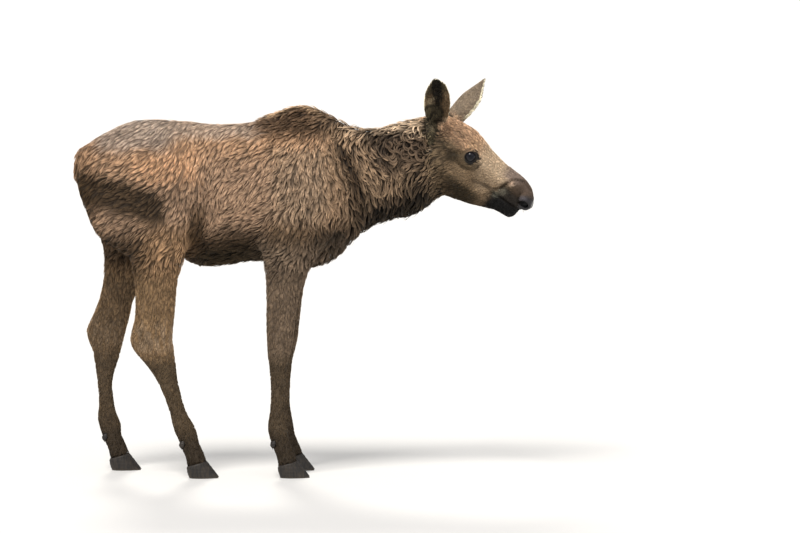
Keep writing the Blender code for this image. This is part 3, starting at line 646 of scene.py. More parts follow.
# The lie of the coat: places on the side of the body (x, z) and the way the hair points there,
# in degrees: 0 is straight back, 90 straight down, 180 straight forwards
lie = {
    "reach": 0.038,
    "strokes": [
        (-0.58, 0.9, 30), (-0.53, 0.86, 42), (-0.45, 0.9, 35), (-0.4, 0.84, 45), (-0.58, 0.78, 55),
        (-0.52, 0.76, 28), (-0.45, 0.72, 16), (-0.38, 0.76, 30), (-0.55, 0.66, 50), (-0.46, 0.62, 40),
        (-0.38, 0.64, 55), (-0.32, 0.7, 70), (-0.46, 0.52, 72), (-0.36, 0.52, 80), (-0.3, 0.86, 60),
        (-0.29, 0.78, 88), (-0.24, 0.84, 80), (-0.24, 0.72, 84), (-0.25, 0.62, 40), (-0.18, 0.9, 40),
        (-0.17, 0.8, 48), (-0.16, 0.7, 26), (-0.16, 0.6, 10), (-0.08, 0.88, 50), (-0.09, 0.78, 48),
        (-0.08, 0.68, 40), (-0.08, 0.6, 25), (-0.05, 0.96, 5), (0.02, 0.97, 4), (0.0, 0.88, 62),
        (0.0, 0.78, 84), (-0.02, 0.68, 84), (0.0, 0.58, 84), (0.06, 0.88, 84), (0.07, 0.78, 92),
        (0.07, 0.68, 90), (0.105, 0.86, 96), (0.115, 0.78, 98), (0.12, 0.7, 92), (0.12, 0.9, 30),
        (0.155, 0.87, 128), (0.16, 0.8, 132), (0.17, 0.73, 116), (0.15, 0.64, 92), (0.2, 0.85, 100),
        (0.21, 0.78, 100), (0.21, 0.7, 90), (0.2, 0.91, 20), (0.25, 0.86, 24), (0.25, 0.8, 70),
        (0.25, 0.74, 80), (0.27, 0.91, 4), (0.29, 0.86, 20), (0.29, 0.81, 66), (0.29, 0.74, 74),
        (0.33, 0.88, 20), (0.34, 0.8, 58),
    ],
    "headStrokes": [
        # along and up on the head, and degrees turned downwards from the line back to the ears
        (0.0, -0.02, 15), (0.05, 0.0, 0), (0.05, -0.06, 35), (0.04, -0.12, 60), (0.1, -0.01, -12),
        (0.11, -0.08, 38), (0.1, -0.12, 52), (0.17, -0.02, 0), (0.17, -0.07, 20), (0.17, -0.1, 42),
        (0.24, -0.03, 4), (0.24, -0.07, 18), (0.25, -0.1, 35), (0.3, -0.04, 10), (0.31, -0.07, 30),
        (0.29, -0.1, 50),
    ],
    "headReach": 0.03,
    "spread": 0.35,
}


def blendStrokes(px, pz, strokes, reach):
    # mean direction of the nearby strokes, as cosine and sine
    c, s = np.zeros(len(px)), np.zeros(len(px))
    for x, z, degrees in strokes:
        weight = np.exp(-((px - x) ** 2 + (pz - z) ** 2) / (2 * reach**2)) + 1e-9
        c += weight * math.cos(math.radians(degrees))
        s += weight * math.sin(math.radians(degrees))
    length = np.hypot(c, s).clip(1e-9)
    return c / length, s / length


def waves(points, scale, seed, count=7):
    # smooth wandering numbers between about -1 and 1, the same each run
    rng = np.random.default_rng(seed)
    total = np.zeros(len(points))
    for _ in range(count):
        way = unit(rng.normal(size=3)) * (2 * math.pi / scale) * rng.uniform(0.6, 1.5)
        total += np.sin(points @ way + rng.uniform(0, 2 * math.pi))
    return total / math.sqrt(count) * 0.9


def tailMask(points):
    _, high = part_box("tail")
    x, y, z = points[:, 0], points[:, 1] - midY, points[:, 2]
    return fadeIn(-x, -(high.x - 0.01), -(high.x - 0.02)) * (z < high.z) * (np.abs(y) < 0.035)


def flattened(ways, normals):
    # the ways laid into the surface
    return unit(ways - normals * np.sum(ways * normals, axis=1)[:, None])


def lieOfCoat(points, normals):
    x, y, z = points[:, 0], points[:, 1] - midY, points[:, 2]
    m = bodyMasks(points)
    c, s = blendStrokes(x, z, lie["strokes"], lie["reach"])
    way = np.column_stack([-c, np.zeros(len(x)), -s])
    over = fadeIn(normals[:, 2], 0.3, 0.9)
    way[:, 1] += np.sign(y) * lie["spread"] * over * fadeIn(np.abs(y), 0.002, 0.02)
    # legs: straight down, a little backwards
    down = np.tile([-0.12, 0.0, -1.0], (len(x), 1))
    share = np.maximum(m["leg"] * fadeIn(-z, -0.6, -0.48), m["shank"])[:, None]
    way = way * (1 - share) + down * share
    # tail: along it
    share = tailMask(points)[:, None]
    way = way * (1 - share) + np.array([-0.25, 0, -1.0]) * share
    # head
    h = toHead(points)
    hc, hs = blendStrokes(h[:, 0], h[:, 2], lie["headStrokes"], lie["headReach"])
    onHead = -hc[:, None] * headTurn[0] - hs[:, None] * headTurn[2]
    share = m["head"][:, None]
    way = way * (1 - share) + onHead * share
    # ears: from root to tip
    ear, _, which = earMask(points)
    axes = np.array([ears[side]["axis"] for side in ("left", "right")])
    way = way * (1 - ear[:, None]) + axes[which] * ear[:, None]
    return flattened(way, normals)


# How long, wide and lifted the coat is, in metres, by place
coat = {
    #            length  width   lift    curl
    "trunk":    (0.0310, 0.0031, 0.0052, 0.0016),
    "croup":    (0.0290, 0.0029, 0.0042, 0.0014),
    "loin":     (0.0330, 0.0026, 0.0030, 0.0010),
    "belly":    (0.0330, 0.0033, 0.0110, 0.0018),
    "hump":     (0.0350, 0.0031, 0.0085, 0.0016),
    "neck":     (0.0420, 0.0036, 0.0100, 0.0030),
    "curls":    (0.0460, 0.0025, 0.0125, 0.0),
    "throat":   (0.0440, 0.0036, 0.0150, 0.0028),
    "brisket":  (0.0400, 0.0042, 0.0150, 0.0016),
    "leg":      (0.0190, 0.0025, 0.0028, 0.0006),
    "shank":    (0.0130, 0.0021, 0.0019, 0.0005),
    "foot":     (0.0080, 0.0018, 0.0012, 0.0002),
    "coronet":  (0.0150, 0.0020, 0.0014, 0.0002),
    "head":     (0.0090, 0.0018, 0.0015, 0.0005),
    "cheek":    (0.0145, 0.0022, 0.0030, 0.0012),
    "nape":     (0.0220, 0.0026, 0.0058, 0.0020),
    "forehead": (0.0130, 0.0018, 0.0032, 0.0036),
    "shoulder": (0.0360, 0.0028, 0.0074, 0.0028),
    "muzzle":   (0.0036, 0.0013, 0.0005, 0.0),
    "ear":      (0.0080, 0.0017, 0.0009, 0.0003),
    "earInner": (0.0115, 0.0014, 0.0026, 0.0010),
    "earFoot":  (0.0085, 0.0015, 0.0014, 0.0006),
    "tail":     (0.0280, 0.0036, 0.0060, 0.0008),
}


def curlShare(points):
    # where the neck carries tight curls: behind the ear and along the upper neck
    x, z = points[:, 0], points[:, 2]
    along = fadeIn(x, 0.195, 0.235) * fadeOut(x, 0.325, 0.35)
    low, high = z - 0.3 * (x - 0.27), z - 0.29 * (x - 0.25)
    return along * fadeIn(low, 0.828, 0.858) * fadeOut(high, 0.892, 0.908)


def bendOfCoat(points, tight):
    # how sharply the neck's hair turns, in radians to the metre: rings in the curls, wide bows behind them
    x, z = points[:, 0], points[:, 2]
    if tight:
        return np.full(len(points), 105.0)
    bows = fadeIn(x, 0.15, 0.175) * fadeOut(x, 0.25, 0.29) * fadeIn(z, 0.8, 0.825)
    return 40.0 * bows * fadeOut(z, 0.875, 0.895)


def coatSizes(points, inner):
    x, z = points[:, 0], points[:, 2]
    m = bodyMasks(points)
    h = toHead(points)
    along, up = h[:, 0], h[:, 2]
    curls = curlShare(points)
    # long hair of the neck shortens over the back of the head
    lean = leaning(x, z, headLevel)
    layers = {
        "croup": fadeIn(-x, 0.2, 0.4) * fadeIn(z, 0.6, 0.75),
        "loin": fadeIn(z, 0.85, 0.89) * fadeIn(-x, 0.06, 0.14),
        "shoulder": fadeIn(x, -0.1, -0.04) * fadeIn(z, 0.6, 0.66) * (1 - m["hump"]),
        "belly": m["belly"], "hump": m["hump"], "neck": m["neck"],
        "throat": m["neck"] * fadeOut(z, 0.7, 0.8),
        "curls": curls, "brisket": m["brisket"], "leg": m["leg"], "shank": m["shank"], "foot": m["foot"],
        "coronet": fadeOut(z, 0.052, 0.072),
        "head": m["head"],
        "cheek": m["head"] * fadeOut(along, 0.03, 0.13) * fadeOut(up, -0.06, 0.0),
        "forehead": m["head"] * fadeOut(along, 0.1, 0.16) * fadeIn(up, -0.05, -0.015),
        "nape": fadeIn(lean, 0.295, 0.345) * fadeOut(lean, 0.35, 0.405) * (1 - curls),
        "earFoot": fadeIn(earFootShade(points), 0.3, 0.65),
        "muzzle": m["head"] * fadeIn(along, 0.23, 0.29),
        "ear": earMask(points)[0], "earInner": inner, "tail": tailMask(points),
    }
    sizes = np.tile(np.array(coat["trunk"]), (len(points), 1))
    for name, mask in layers.items():
        sizes += (np.array(coat[name]) - sizes) * mask[:, None]
    return sizes


# Which way the hollow side of each ear faces
earFacing = {"left": (0.66, 0.62, -0.4), "right": (0.28, -0.86, -0.3)}


def earInside(points, normals):
    # 1 on the hollow side of an ear
    ear, _, which = earMask(points)
    facing = unit(np.array([earFacing[side] for side in ("left", "right")]))[which]
    return ear * fadeIn(np.sum(normals * facing, axis=1), -0.1, 0.35)


def earAcross(points):
    # place across an ear, from its front edge (negative) to its rear edge, in metres
    _, _, which = earMask(points)
    across = np.zeros(len(points))
    for number, side in enumerate(("left", "right")):
        ear = ears[side]
        way = unit(np.cross(ear["axis"], np.array(earFacing[side])))
        way = way if way[0] < 0 else -way
        across = np.where(which == number, (points - ear["root"]) @ way, across)
    return across


def lidShade(points):
    # 1 on the lids' edges, the front corner and the line behind the eye, fading over the skin around them
    shade = np.zeros(len(points))
    for side in eyeCentres:
        out, fore, up, offset, distance = fromEye(points, side)
        a, b = offset @ fore, offset @ up
        # the dark skin lies further forwards and down than the opening
        dark = fadeOut(np.hypot((a - 0.0042) / 0.0215, (b + 0.0028) / 0.019), 0.84, 1.06)
        corner = np.exp(-(((a - 0.0262) / 0.0055) ** 2) - ((b + 0.004) / 0.0034) ** 2)
        edge = 0.45 * bell(lidRing(a, b) - 1.24, 0.05) * (b < 0.002)
        one = np.maximum(dark - edge, corner) * (offset @ out > -0.012) * fadeOut(distance, 0.036, 0.048)
        shade = np.maximum(shade, one)
    return shade


def creaseShade(points):
    # 1 in the bottom of a fold of the face and along the mouth, where painted shade darkens skin and coat
    h = toHead(points)
    flat = h[:, [0, 2]]
    onFace = (h[:, 0] > 0.03) & (h[:, 2] < 0.05) & (points[:, 0] > 0.36) & (np.abs(h[:, 1]) > 0.01)
    shade = np.zeros(len(points))
    for line, wide, deep in face["folds"]:
        shade += bell(lineDistance(flat, line)[0], wide) * deep / 0.006 * onFace
    off, share = lineDistance(flat, face["mouth"])
    shade += 1.2 * bell(off, 0.0034) * onFace * (1 - 0.4 * share)
    return shade.clip(0, 1)


def earFootShade(points):
    # the foot of each ear: 0.5 on its edges, 1.5 along its middle, 0 outside
    h = toHead(points)
    off, _, wide = earFootPlace(points)
    aside = fadeIn(np.abs(h[:, 1]), 0.008, 0.02) * (points[:, 0] > 0.28) * (h[:, 0] < 0.08)
    return (1.5 - off / wide).clip(0, 1.5) * aside


def bareSkin(points):
    # the nose, lips and lids, where the hair is too short to show
    h = toHead(points)
    bare = fadeIn(h[:, 0], 0.296, 0.312) * fadeOut(h[:, 2], -0.05, -0.036) * (points[:, 0] > 0.4)
    for side in eyeCentres:
        bare = np.maximum(bare, fadeOut(fromEye(points, side)[-1], 0.019, 0.0215))
    return bare


# Values kept on the points of the skin and the coat, which the markings work on
pointMarks = ("earInner", "earRim", "lid", "facing", "earSide", "paintedCreaseShade", "earFoot")


class Field:
    pass


def readSkin(mesh):
    field = Field()
    field.points = points = pointsOf(mesh)
    field.triangles = readArray(mesh.polygons, "vertices", 3, np.int32)
    edges = edgesOf(mesh)
    field.normals = unit(evened(normalsOf(mesh), edges, 6, 0.5))
    field.way = lieOfCoat(points, field.normals)
    for _ in range(3):
        field.way = flattened(evened(field.way, edges, 4, 0.5), field.normals)
    ear, _, _ = earMask(points)
    inner = earInside(points, field.normals)
    field.inner = evened(inner[:, None], edges, 2, 0.5)[:, 0]
    # the rim: where the inside meets the outside
    mean = evened(inner[:, None], edges, 10, 0.6)[:, 0]
    rim = fadeIn(mean, 0.14, 0.34) * fadeOut(mean, 0.66, 0.84) * ear
    field.bare = bareSkin(points)
    earFoot = earFootShade(points) * np.maximum(1 - ear, field.inner)
    marks = (field.inner, rim, lidShade(points), field.normals[:, 2], earAcross(points), creaseShade(points),
             earFoot)
    field.marks = dict(zip(pointMarks, marks))
    field.sizes = evened(coatSizes(points, field.inner), edges, 6, 0.5)
    corners = points[field.triangles]
    field.centres = corners.mean(1)
    cross = np.cross(corners[:, 1] - corners[:, 0], corners[:, 2] - corners[:, 0])
    field.areas = np.linalg.norm(cross, axis=1) / 2
    field.uv = readArray(mesh.uv_layers["OFBake"].data, "uv", 2).reshape(-1, 3, 2)
    field.tree = BVHTree.FromPolygons(points.tolist(), field.triangles.tolist(), all_triangles=True)
    return field


def onFaces(values):
    # the mean of the points' values on each triangle of the skin
    return values[field.triangles].mean(1)


field = readSkin(skinPiece.data)
say("lie of the coat")


# Rings along a lock: share of its length, share of its width and share of its lift
lockShapes = {
    "short": [(0.0, 0.7, -0.3), (0.45, 1.0, 0.62), (1.0, 0.0, 1.0)],
    "plain": [(0.0, 0.65, -0.3), (0.3, 1.0, 0.5), (0.68, 0.74, 0.86), (1.0, 0.0, 1.0)],
    "wavy": [(0.0, 0.6, -0.25), (0.22, 0.95, 0.42), (0.45, 1.0, 0.72), (0.68, 0.78, 0.92), (0.86, 0.48, 1.0),
             (1.0, 0.0, 1.0)],
    "ringed": [(0.0, 0.6, -0.15), (0.1, 0.85, 0.5), (0.21, 1.0, 0.85), (0.33, 1.0, 1.0), (0.45, 1.0, 0.95),
               (0.57, 0.95, 0.8), (0.69, 0.9, 0.7), (0.81, 0.75, 0.7), (0.91, 0.5, 0.8), (1.0, 0.0, 0.85)],
}
tuftPatch = 0.003  # side of each tuft's own patch in the unwrap


# Share of locks that lead; how far the others close up on their leader at the root and at the tip; how much
# of its way they copy; how much of their tone is their own; and how far off a leader may be
strands = {
    "body": {"leaders": 0.22, "hold": 0.16, "pull": 0.68, "copy": 0.5, "own": 0.3, "reach": 0.012},
    "rope": {"leaders": 0.24, "hold": 0.34, "pull": 0.8, "copy": 0.78, "own": 0.26, "reach": 0.012},
    "neck": {"leaders": 0.3, "hold": 0.42, "pull": 0.84, "copy": 0.85, "own": 0.24, "reach": 0.012},
    "curl": {"leaders": 0.075, "hold": 0.82, "pull": 0.86, "copy": 0.96, "own": 0.45, "reach": 0.03},
    "head": {"leaders": 0.16, "hold": 0.1, "pull": 0.62, "copy": 0.7, "own": 0.42, "reach": 0.012},
    "ears": {"leaders": 0.15, "hold": 0.1, "pull": 0.55, "copy": 0.6, "own": 0.4, "reach": 0.012},
    "legs": {"leaders": 0.17, "hold": 0.1, "pull": 0.65, "copy": 0.5, "own": 0.5, "reach": 0.012},
}
# Single locks that stand off the rest
strays = {"share": 0.06, "lift": 1.35, "width": 0.5}
# Over the hooves: how high up hair hangs on, how far down the skin has to face there, and its lean outwards
coronet = {"high": 0.075, "turn": -0.6, "lean": 0.1}


def spreadFaces(count, weight, rng):
    # faces of the skin, picked evenly by weight and area
    share = np.cumsum(field.areas * weight)
    pick = (np.arange(count) + rng.random(count)) / count * share[-1]
    return np.searchsorted(share, pick).clip(0, len(share) - 1)


def findLeaders(roots, normals, habit, rng):
    # the lock that each lock follows, so that they lie in strands with gaps between, or its own number
    count = len(roots)
    leaders = np.where(rng.random(count) < habit["leaders"])[0]
    nearby = KDTree(len(leaders))
    for number, place in enumerate(roots[leaders].tolist()):
        nearby.insert(place, number)
    nearby.balance()
    nearest = [nearby.find(place)[1:] for place in roots.tolist()]
    chief = leaders[[number for number, _ in nearest]]
    apart = np.array([distance for _, distance in nearest])
    alone = (apart > habit["reach"]) | (np.sum(normals * normals[chief], axis=1) < 0.3)
    return np.where(alone, np.arange(count), chief)


def followSkin(root, normal, way, length, turning, rings, strand):
    # walks each lock over the skin from ring to ring: its places, normals and ways
    spots, normals, ways = [root], [normal], [way]
    for before, after in zip(rings, rings[1:]):
        step = length * (after[0] - before[0])
        ahead = spots[-1] + ways[-1] * step[:, None]
        found = [field.tree.find_nearest(p) for p in ahead.tolist()]
        place = np.array([f[0] for f in found])
        far = np.linalg.norm(place - ahead, axis=1) > 0.004 + 0.6 * step
        place = np.where(far[:, None], spots[-1] + ways[-1] * 0.25 * step[:, None], place)
        around = field.triangles[np.array([f[2] for f in found])]
        normal = unit(field.normals[around].mean(1))
        local = unit(field.way[around].mean(1))
        if strand == "legs":
            # past the end of the foot the hair hangs on over the hoof
            past = ((normal[:, 2] < coronet["turn"]) & (place[:, 2] < coronet["high"]))[:, None]
            place = np.where(past, ahead + normals[-1] * coronet["lean"] * step[:, None], place)
            normal = np.where(past, normals[-1], normal)
            local = np.where(past, ways[-1], local)
        keep = 1.0 if strand == "curl" else 0.8
        bent = flattened(ways[-1] * keep + local * (1 - keep), normal)
        angle = (turning * (after[0] - before[0]))[:, None]
        spots.append(place)
        normals.append(normal)
        ways.append(bent * np.cos(angle) + np.cross(normal, bent) * np.sin(angle))
    return spots, normals, ways


def lockPattern(ringCount):
    # the triangles between the rings of one lock and its tip, without a cap at the root
    pattern = [(0, 1, 2)]
    for ring in range(ringCount - 1):
        for k in range(3):
            a, b = 3 * ring + k, 3 * ring + (k + 1) % 3
            pattern += [(a, a + 3, b), (b, a + 3, b + 3)]
    last = 3 * (ringCount - 1)
    return np.array(pattern + [(last + k, last + 3, last + (k + 1) % 3) for k in range(3)])


def triangleMesh(name, points, triangles):
    mesh = bpy.data.meshes.new(name)
    mesh.vertices.add(len(points))
    mesh.vertices.foreach_set("co", points.astype(np.float32).ravel())
    mesh.loops.add(3 * len(triangles))
    mesh.loops.foreach_set("vertex_index", triangles.astype(np.int32).ravel())
    mesh.polygons.add(len(triangles))
    mesh.polygons.foreach_set("loop_start", np.arange(0, 3 * len(triangles), 3, dtype=np.int32))
    mesh.polygons.foreach_set("loop_total", np.full(len(triangles), 3, np.int32))
    mesh.update(calc_edges=True)
    mesh.shade_smooth()
    return mesh


def growCoat(name, shape, triangles, seed, wander, spin, strand):
    rng = np.random.default_rng(seed)
    rings, habit = lockShapes[shape], strands[strand]
    count = int(triangles // (6 * len(rings) - 8))
    faces = spreadFaces(count, weights[name], rng)
    r1, r2 = np.sqrt(rng.random(count)), rng.random(count)
    bary = np.column_stack([1 - r1, r1 * (1 - r2), r1 * r2])
    corner = field.triangles[faces]

    def at(values):
        return np.einsum("nk,nkc->nc", bary, values[corner])

    root, normal, way, sizes = at(field.points), unit(at(field.normals)), at(field.way), at(field.sizes)
    uvRoot = np.einsum("nk,nkc->nc", bary, field.uv[faces])
    marks = at(np.column_stack(list(field.marks.values())))
    chief = findLeaders(root, normal, habit, rng)

    def led(values):
        return values + (values[chief] - values) * habit["copy"]

    length = sizes[:, 0] * led(rng.uniform(0.7, 1.25, count))
    width = sizes[:, 1] * rng.uniform(0.75, 1.25, count)
    lift = sizes[:, 2] * led(rng.uniform(0.45, 1.25, count))
    curl = sizes[:, 3] * rng.uniform(0.4, 1.5, count)
    phase = waves(root, 0.045, seed + 5) * 2.5 + led(rng.uniform(-1.2, 1.2, count))
    turn = led(waves(root, 0.06, seed + 9) * wander + rng.normal(0, 0.09 + 0.2 * wander, count))
    turning = waves(root, 0.05, seed + 13) * spin + rng.normal(0, spin * 0.3, count)
    if strand in ("neck", "curl"):
        bend = bendOfCoat(root, strand == "curl") * length * rng.uniform(0.75, 1.2, count)
        turning += np.where(normal[:, 1] < 0, bend, -bend)
    way = unit(way * np.cos(turn)[:, None] + np.cross(normal, way) * np.sin(turn)[:, None])
    spots, normals, ways = followSkin(root, normal, way, length, led(turning), rings, strand)
    closing = [habit["hold"] + (habit["pull"] - habit["hold"]) * run**1.3 for run, _, _ in rings]
    spots = [own + (own[chief] - own) * share for own, share in zip(spots, closing)]
    tone = habit["own"] * rng.random(count) + (1 - habit["own"]) * rng.random(count)[chief]
    if strand == "neck":
        # painted shade under the curls: the neck's locks there are darker, and lie lower
        shadeUnderCurls = curlShare(root)
        tone *= 1 - 0.75 * shadeUnderCurls
        lift *= 1 - 0.45 * shadeUnderCurls
    stray = rng.random(count) < strays["share"]
    lift = np.where(stray, lift * strays["lift"], lift)
    width = np.where(stray, width * strays["width"], width)
    # a low triangle around each ring but the last, which is the tip
    flat = np.cos(waves(root, 0.02, seed + 3) * 0.5)
    blocks = []
    for (run, wide, high), spot, n, w in zip(rings, spots, normals, ways):
        across = np.cross(n, w)
        height = lift * high if high > 0 else np.full(count, high * 0.004)
        swing = curl * np.sin(phase + run * 7.0) * run
        centre = spot + n * height[:, None] + across * swing[:, None]
        half = (width * wide / 2 * flat)[:, None]
        sink = (width * wide * 0.1)[:, None]
        blocks += [centre - across * half - n * sink, centre + across * half - n * sink,
                   centre + n * (width * wide * 0.3)[:, None]]
    blocks[-3:] = [centre]
    points = np.stack(blocks, axis=1)
    perLock = len(blocks)
    pattern = lockPattern(len(rings) - 1)
    tri = (pattern[None] + (np.arange(count) * perLock)[:, None, None]).reshape(-1, 3)
    # faces look outwards: the first lock's volume has to be positive
    a, b, c = (points[0] - points[0].mean(0))[pattern.T]
    if np.einsum("ij,ij->i", np.cross(a, b), c).sum() < 0:
        tri = tri[:, ::-1]
    mesh = triangleMesh(name, points.reshape(-1, 3), tri)
    runs = np.tile([ring[0] for ring in rings[:-1] for _ in range(3)] + [1.0], count)
    cross = np.tile([0.0, 1.0, 0.5] * (len(rings) - 1) + [0.5], count)
    uvPoint = np.repeat(uvRoot, perLock, axis=0) + np.column_stack([cross, runs]) * tuftPatch
    layer = mesh.uv_layers.new(name="OFBake")
    layer.data.foreach_set("uv", uvPoint[tri.ravel()].clip(0, 1).astype(np.float32).ravel())
    addAttribute(mesh, "rootPlace", np.repeat(root, perLock, axis=0), "FLOAT_VECTOR")
    addAttribute(mesh, "alongLock", runs)
    addAttribute(mesh, "acrossLock", cross)
    for label, values in zip(("lockTone",) + pointMarks, (tone,) + tuple(marks.T)):
        addAttribute(mesh, label, np.repeat(values, perLock))
    say(f"{name}: {count} locks, {len(tri)} triangles")
    return addObject(name, mesh)


def regionWeights():
    # one weight for each face and coat piece; the pieces share the skin without gaps
    x, z = field.centres[:, 0], field.centres[:, 2]
    sizes = onFaces(field.sizes)
    density = 1.0 / (sizes[:, 1] * sizes[:, 0]) ** 0.75 * fadeOut(onFaces(field.bare), 0.35, 0.75)
    onEar = earMask(field.centres)[0] > 0.5
    onHead = (bodyMasks(field.centres)["head"] > 0.5) & ~onEar
    onNeck = (leaning(x, z, neckLevel) > 0.11) & ~onHead & ~onEar
    onLeg = (z < 0.56) & ~onNeck
    hidden = (z < coronet["high"]) & (onFaces(field.normals)[:, 2] < coronet["turn"] - 0.1)
    trunk = ~(onEar | onHead | onNeck | onLeg)
    rump, shoulder = trunk & (x < -0.3), trunk & (x > -0.07)
    regions = {
        "coatRump": rump, "coatShoulder": shoulder, "coatFlank": trunk & ~rump & ~shoulder,
        "coatNeck": onNeck, "coatHead": onHead, "coatEars": onEar,
        "coatHindLegs": onLeg & (x < -0.27) & ~hidden, "coatForeLegs": onLeg & (x >= -0.27) & ~hidden,
    }
    found = {name: mask * density for name, mask in regions.items()}
    curly = curlShare(field.centres)
    found["coatCurls"] = found["coatNeck"] * curly
    found["coatNeck"] = found["coatNeck"] * (1 - 0.55 * curly)
    return found


weights = regionWeights()
coatPlan = [
    # name, lock shape, triangles, seed, wander, spin, kind of strand
    ("coatRump", "plain", 190000, 11, 0.16, 0.5, "body"),
    ("coatFlank", "plain", 185000, 12, 0.22, 0.7, "body"),
    ("coatShoulder", "plain", 198000, 13, 0.26, 0.9, "rope"),
    ("coatNeck", "wavy", 198000, 14, 0.22, 0.8, "neck"),
    ("coatCurls", "ringed", 92000, 21, 0.35, 0.5, "curl"),
    ("coatHead", "short", 190000, 15, 0.16, 0.4, "head"),
    ("coatEars", "short", 90000, 16, 0.14, 0.3, "ears"),
    ("coatHindLegs", "short", 180000, 17, 0.12, 0.3, "legs"),
    ("coatForeLegs", "short", 165000, 18, 0.12, 0.3, "legs"),
]
coatPieces = {row[0]: growCoat(*row) for row in coatPlan}
say("coat grown")


# Colours and nodes
def paint(red, green, blue):
    def light(value):
        value /= 255.0
        return value / 12.92 if value <= 0.04045 else ((value + 0.055) / 1.055) ** 2.4
    return (light(red), light(green), light(blue), 1.0)


def addNode(tree, kind, inputs=None, **settings):
    node = tree.nodes.new("ShaderNode" + kind)
    for key, value in settings.items():
        setattr(node, key, value)
    for key, value in (inputs or {}).items():
        setInput(tree, node.inputs[key], value)
    return node


def maths(tree, operation, a, b=0.0):
    return addNode(tree, "Math", {0: a, 1: b}, operation=operation).outputs[0]


def plus(tree, a, b):
    return maths(tree, "ADD", a, b)


def minus(tree, a, b):
    return maths(tree, "SUBTRACT", a, b)


def times(tree, a, b):
    return maths(tree, "MULTIPLY", a, b)


def vectorMaths(tree, operation, *inputs, output=0):
    return addNode(tree, "VectorMath", dict(enumerate(inputs)), operation=operation).outputs[output]


def ramped(tree, value, low, high, start=0.0, end=1.0, kind="SMOOTHSTEP"):
    inputs = {"Value": value, "From Min": low, "From Max": high, "To Min": start, "To Max": end}
    return addNode(tree, "MapRange", inputs, interpolation_type=kind, clamp=True).outputs["Result"]


def setInput(tree, socket, value):
    # a link if the value is another node's output, and otherwise a fixed value
    if isinstance(value, bpy.types.NodeSocket):
        tree.links.new(value, socket)
    else:
        socket.default_value = value


def mixed(tree, factor, a, b):
    node = addNode(tree, "Mix", data_type="RGBA", blend_type="MIX")
    sockets = {socket.identifier: socket for socket in node.inputs}
    for key, value in (("Factor_Float", factor), ("A_Color", a), ("B_Color", b)):
        setInput(tree, sockets[key], value)
    return next(s for s in node.outputs if s.identifier == "Result_Color")


def scaled(tree, colour, factor):
    node = addNode(tree, "VectorMath", {0: colour}, operation="SCALE")
    setInput(tree, node.inputs["Scale"], factor)
    return node.outputs[0]


def noise(tree, vector, scale, detail=3.0, rough=0.55):
    node = addNode(tree, "TexNoise", {"Vector": vector, "Scale": scale, "Detail": detail, "Roughness": rough})
    return node.outputs["Fac"]


def newGroup(name, inputs, outputs):
    tree = bpy.data.node_groups.new(name, "ShaderNodeTree")
    for label, kind, value in inputs:
        socket = tree.interface.new_socket(label, in_out="INPUT", socket_type=kind)
        if value is not None:
            socket.default_value = value
    for label, kind in outputs:
        tree.interface.new_socket(label, in_out="OUTPUT", socket_type=kind)
    return tree, tree.nodes.new("NodeGroupInput"), tree.nodes.new("NodeGroupOutput")
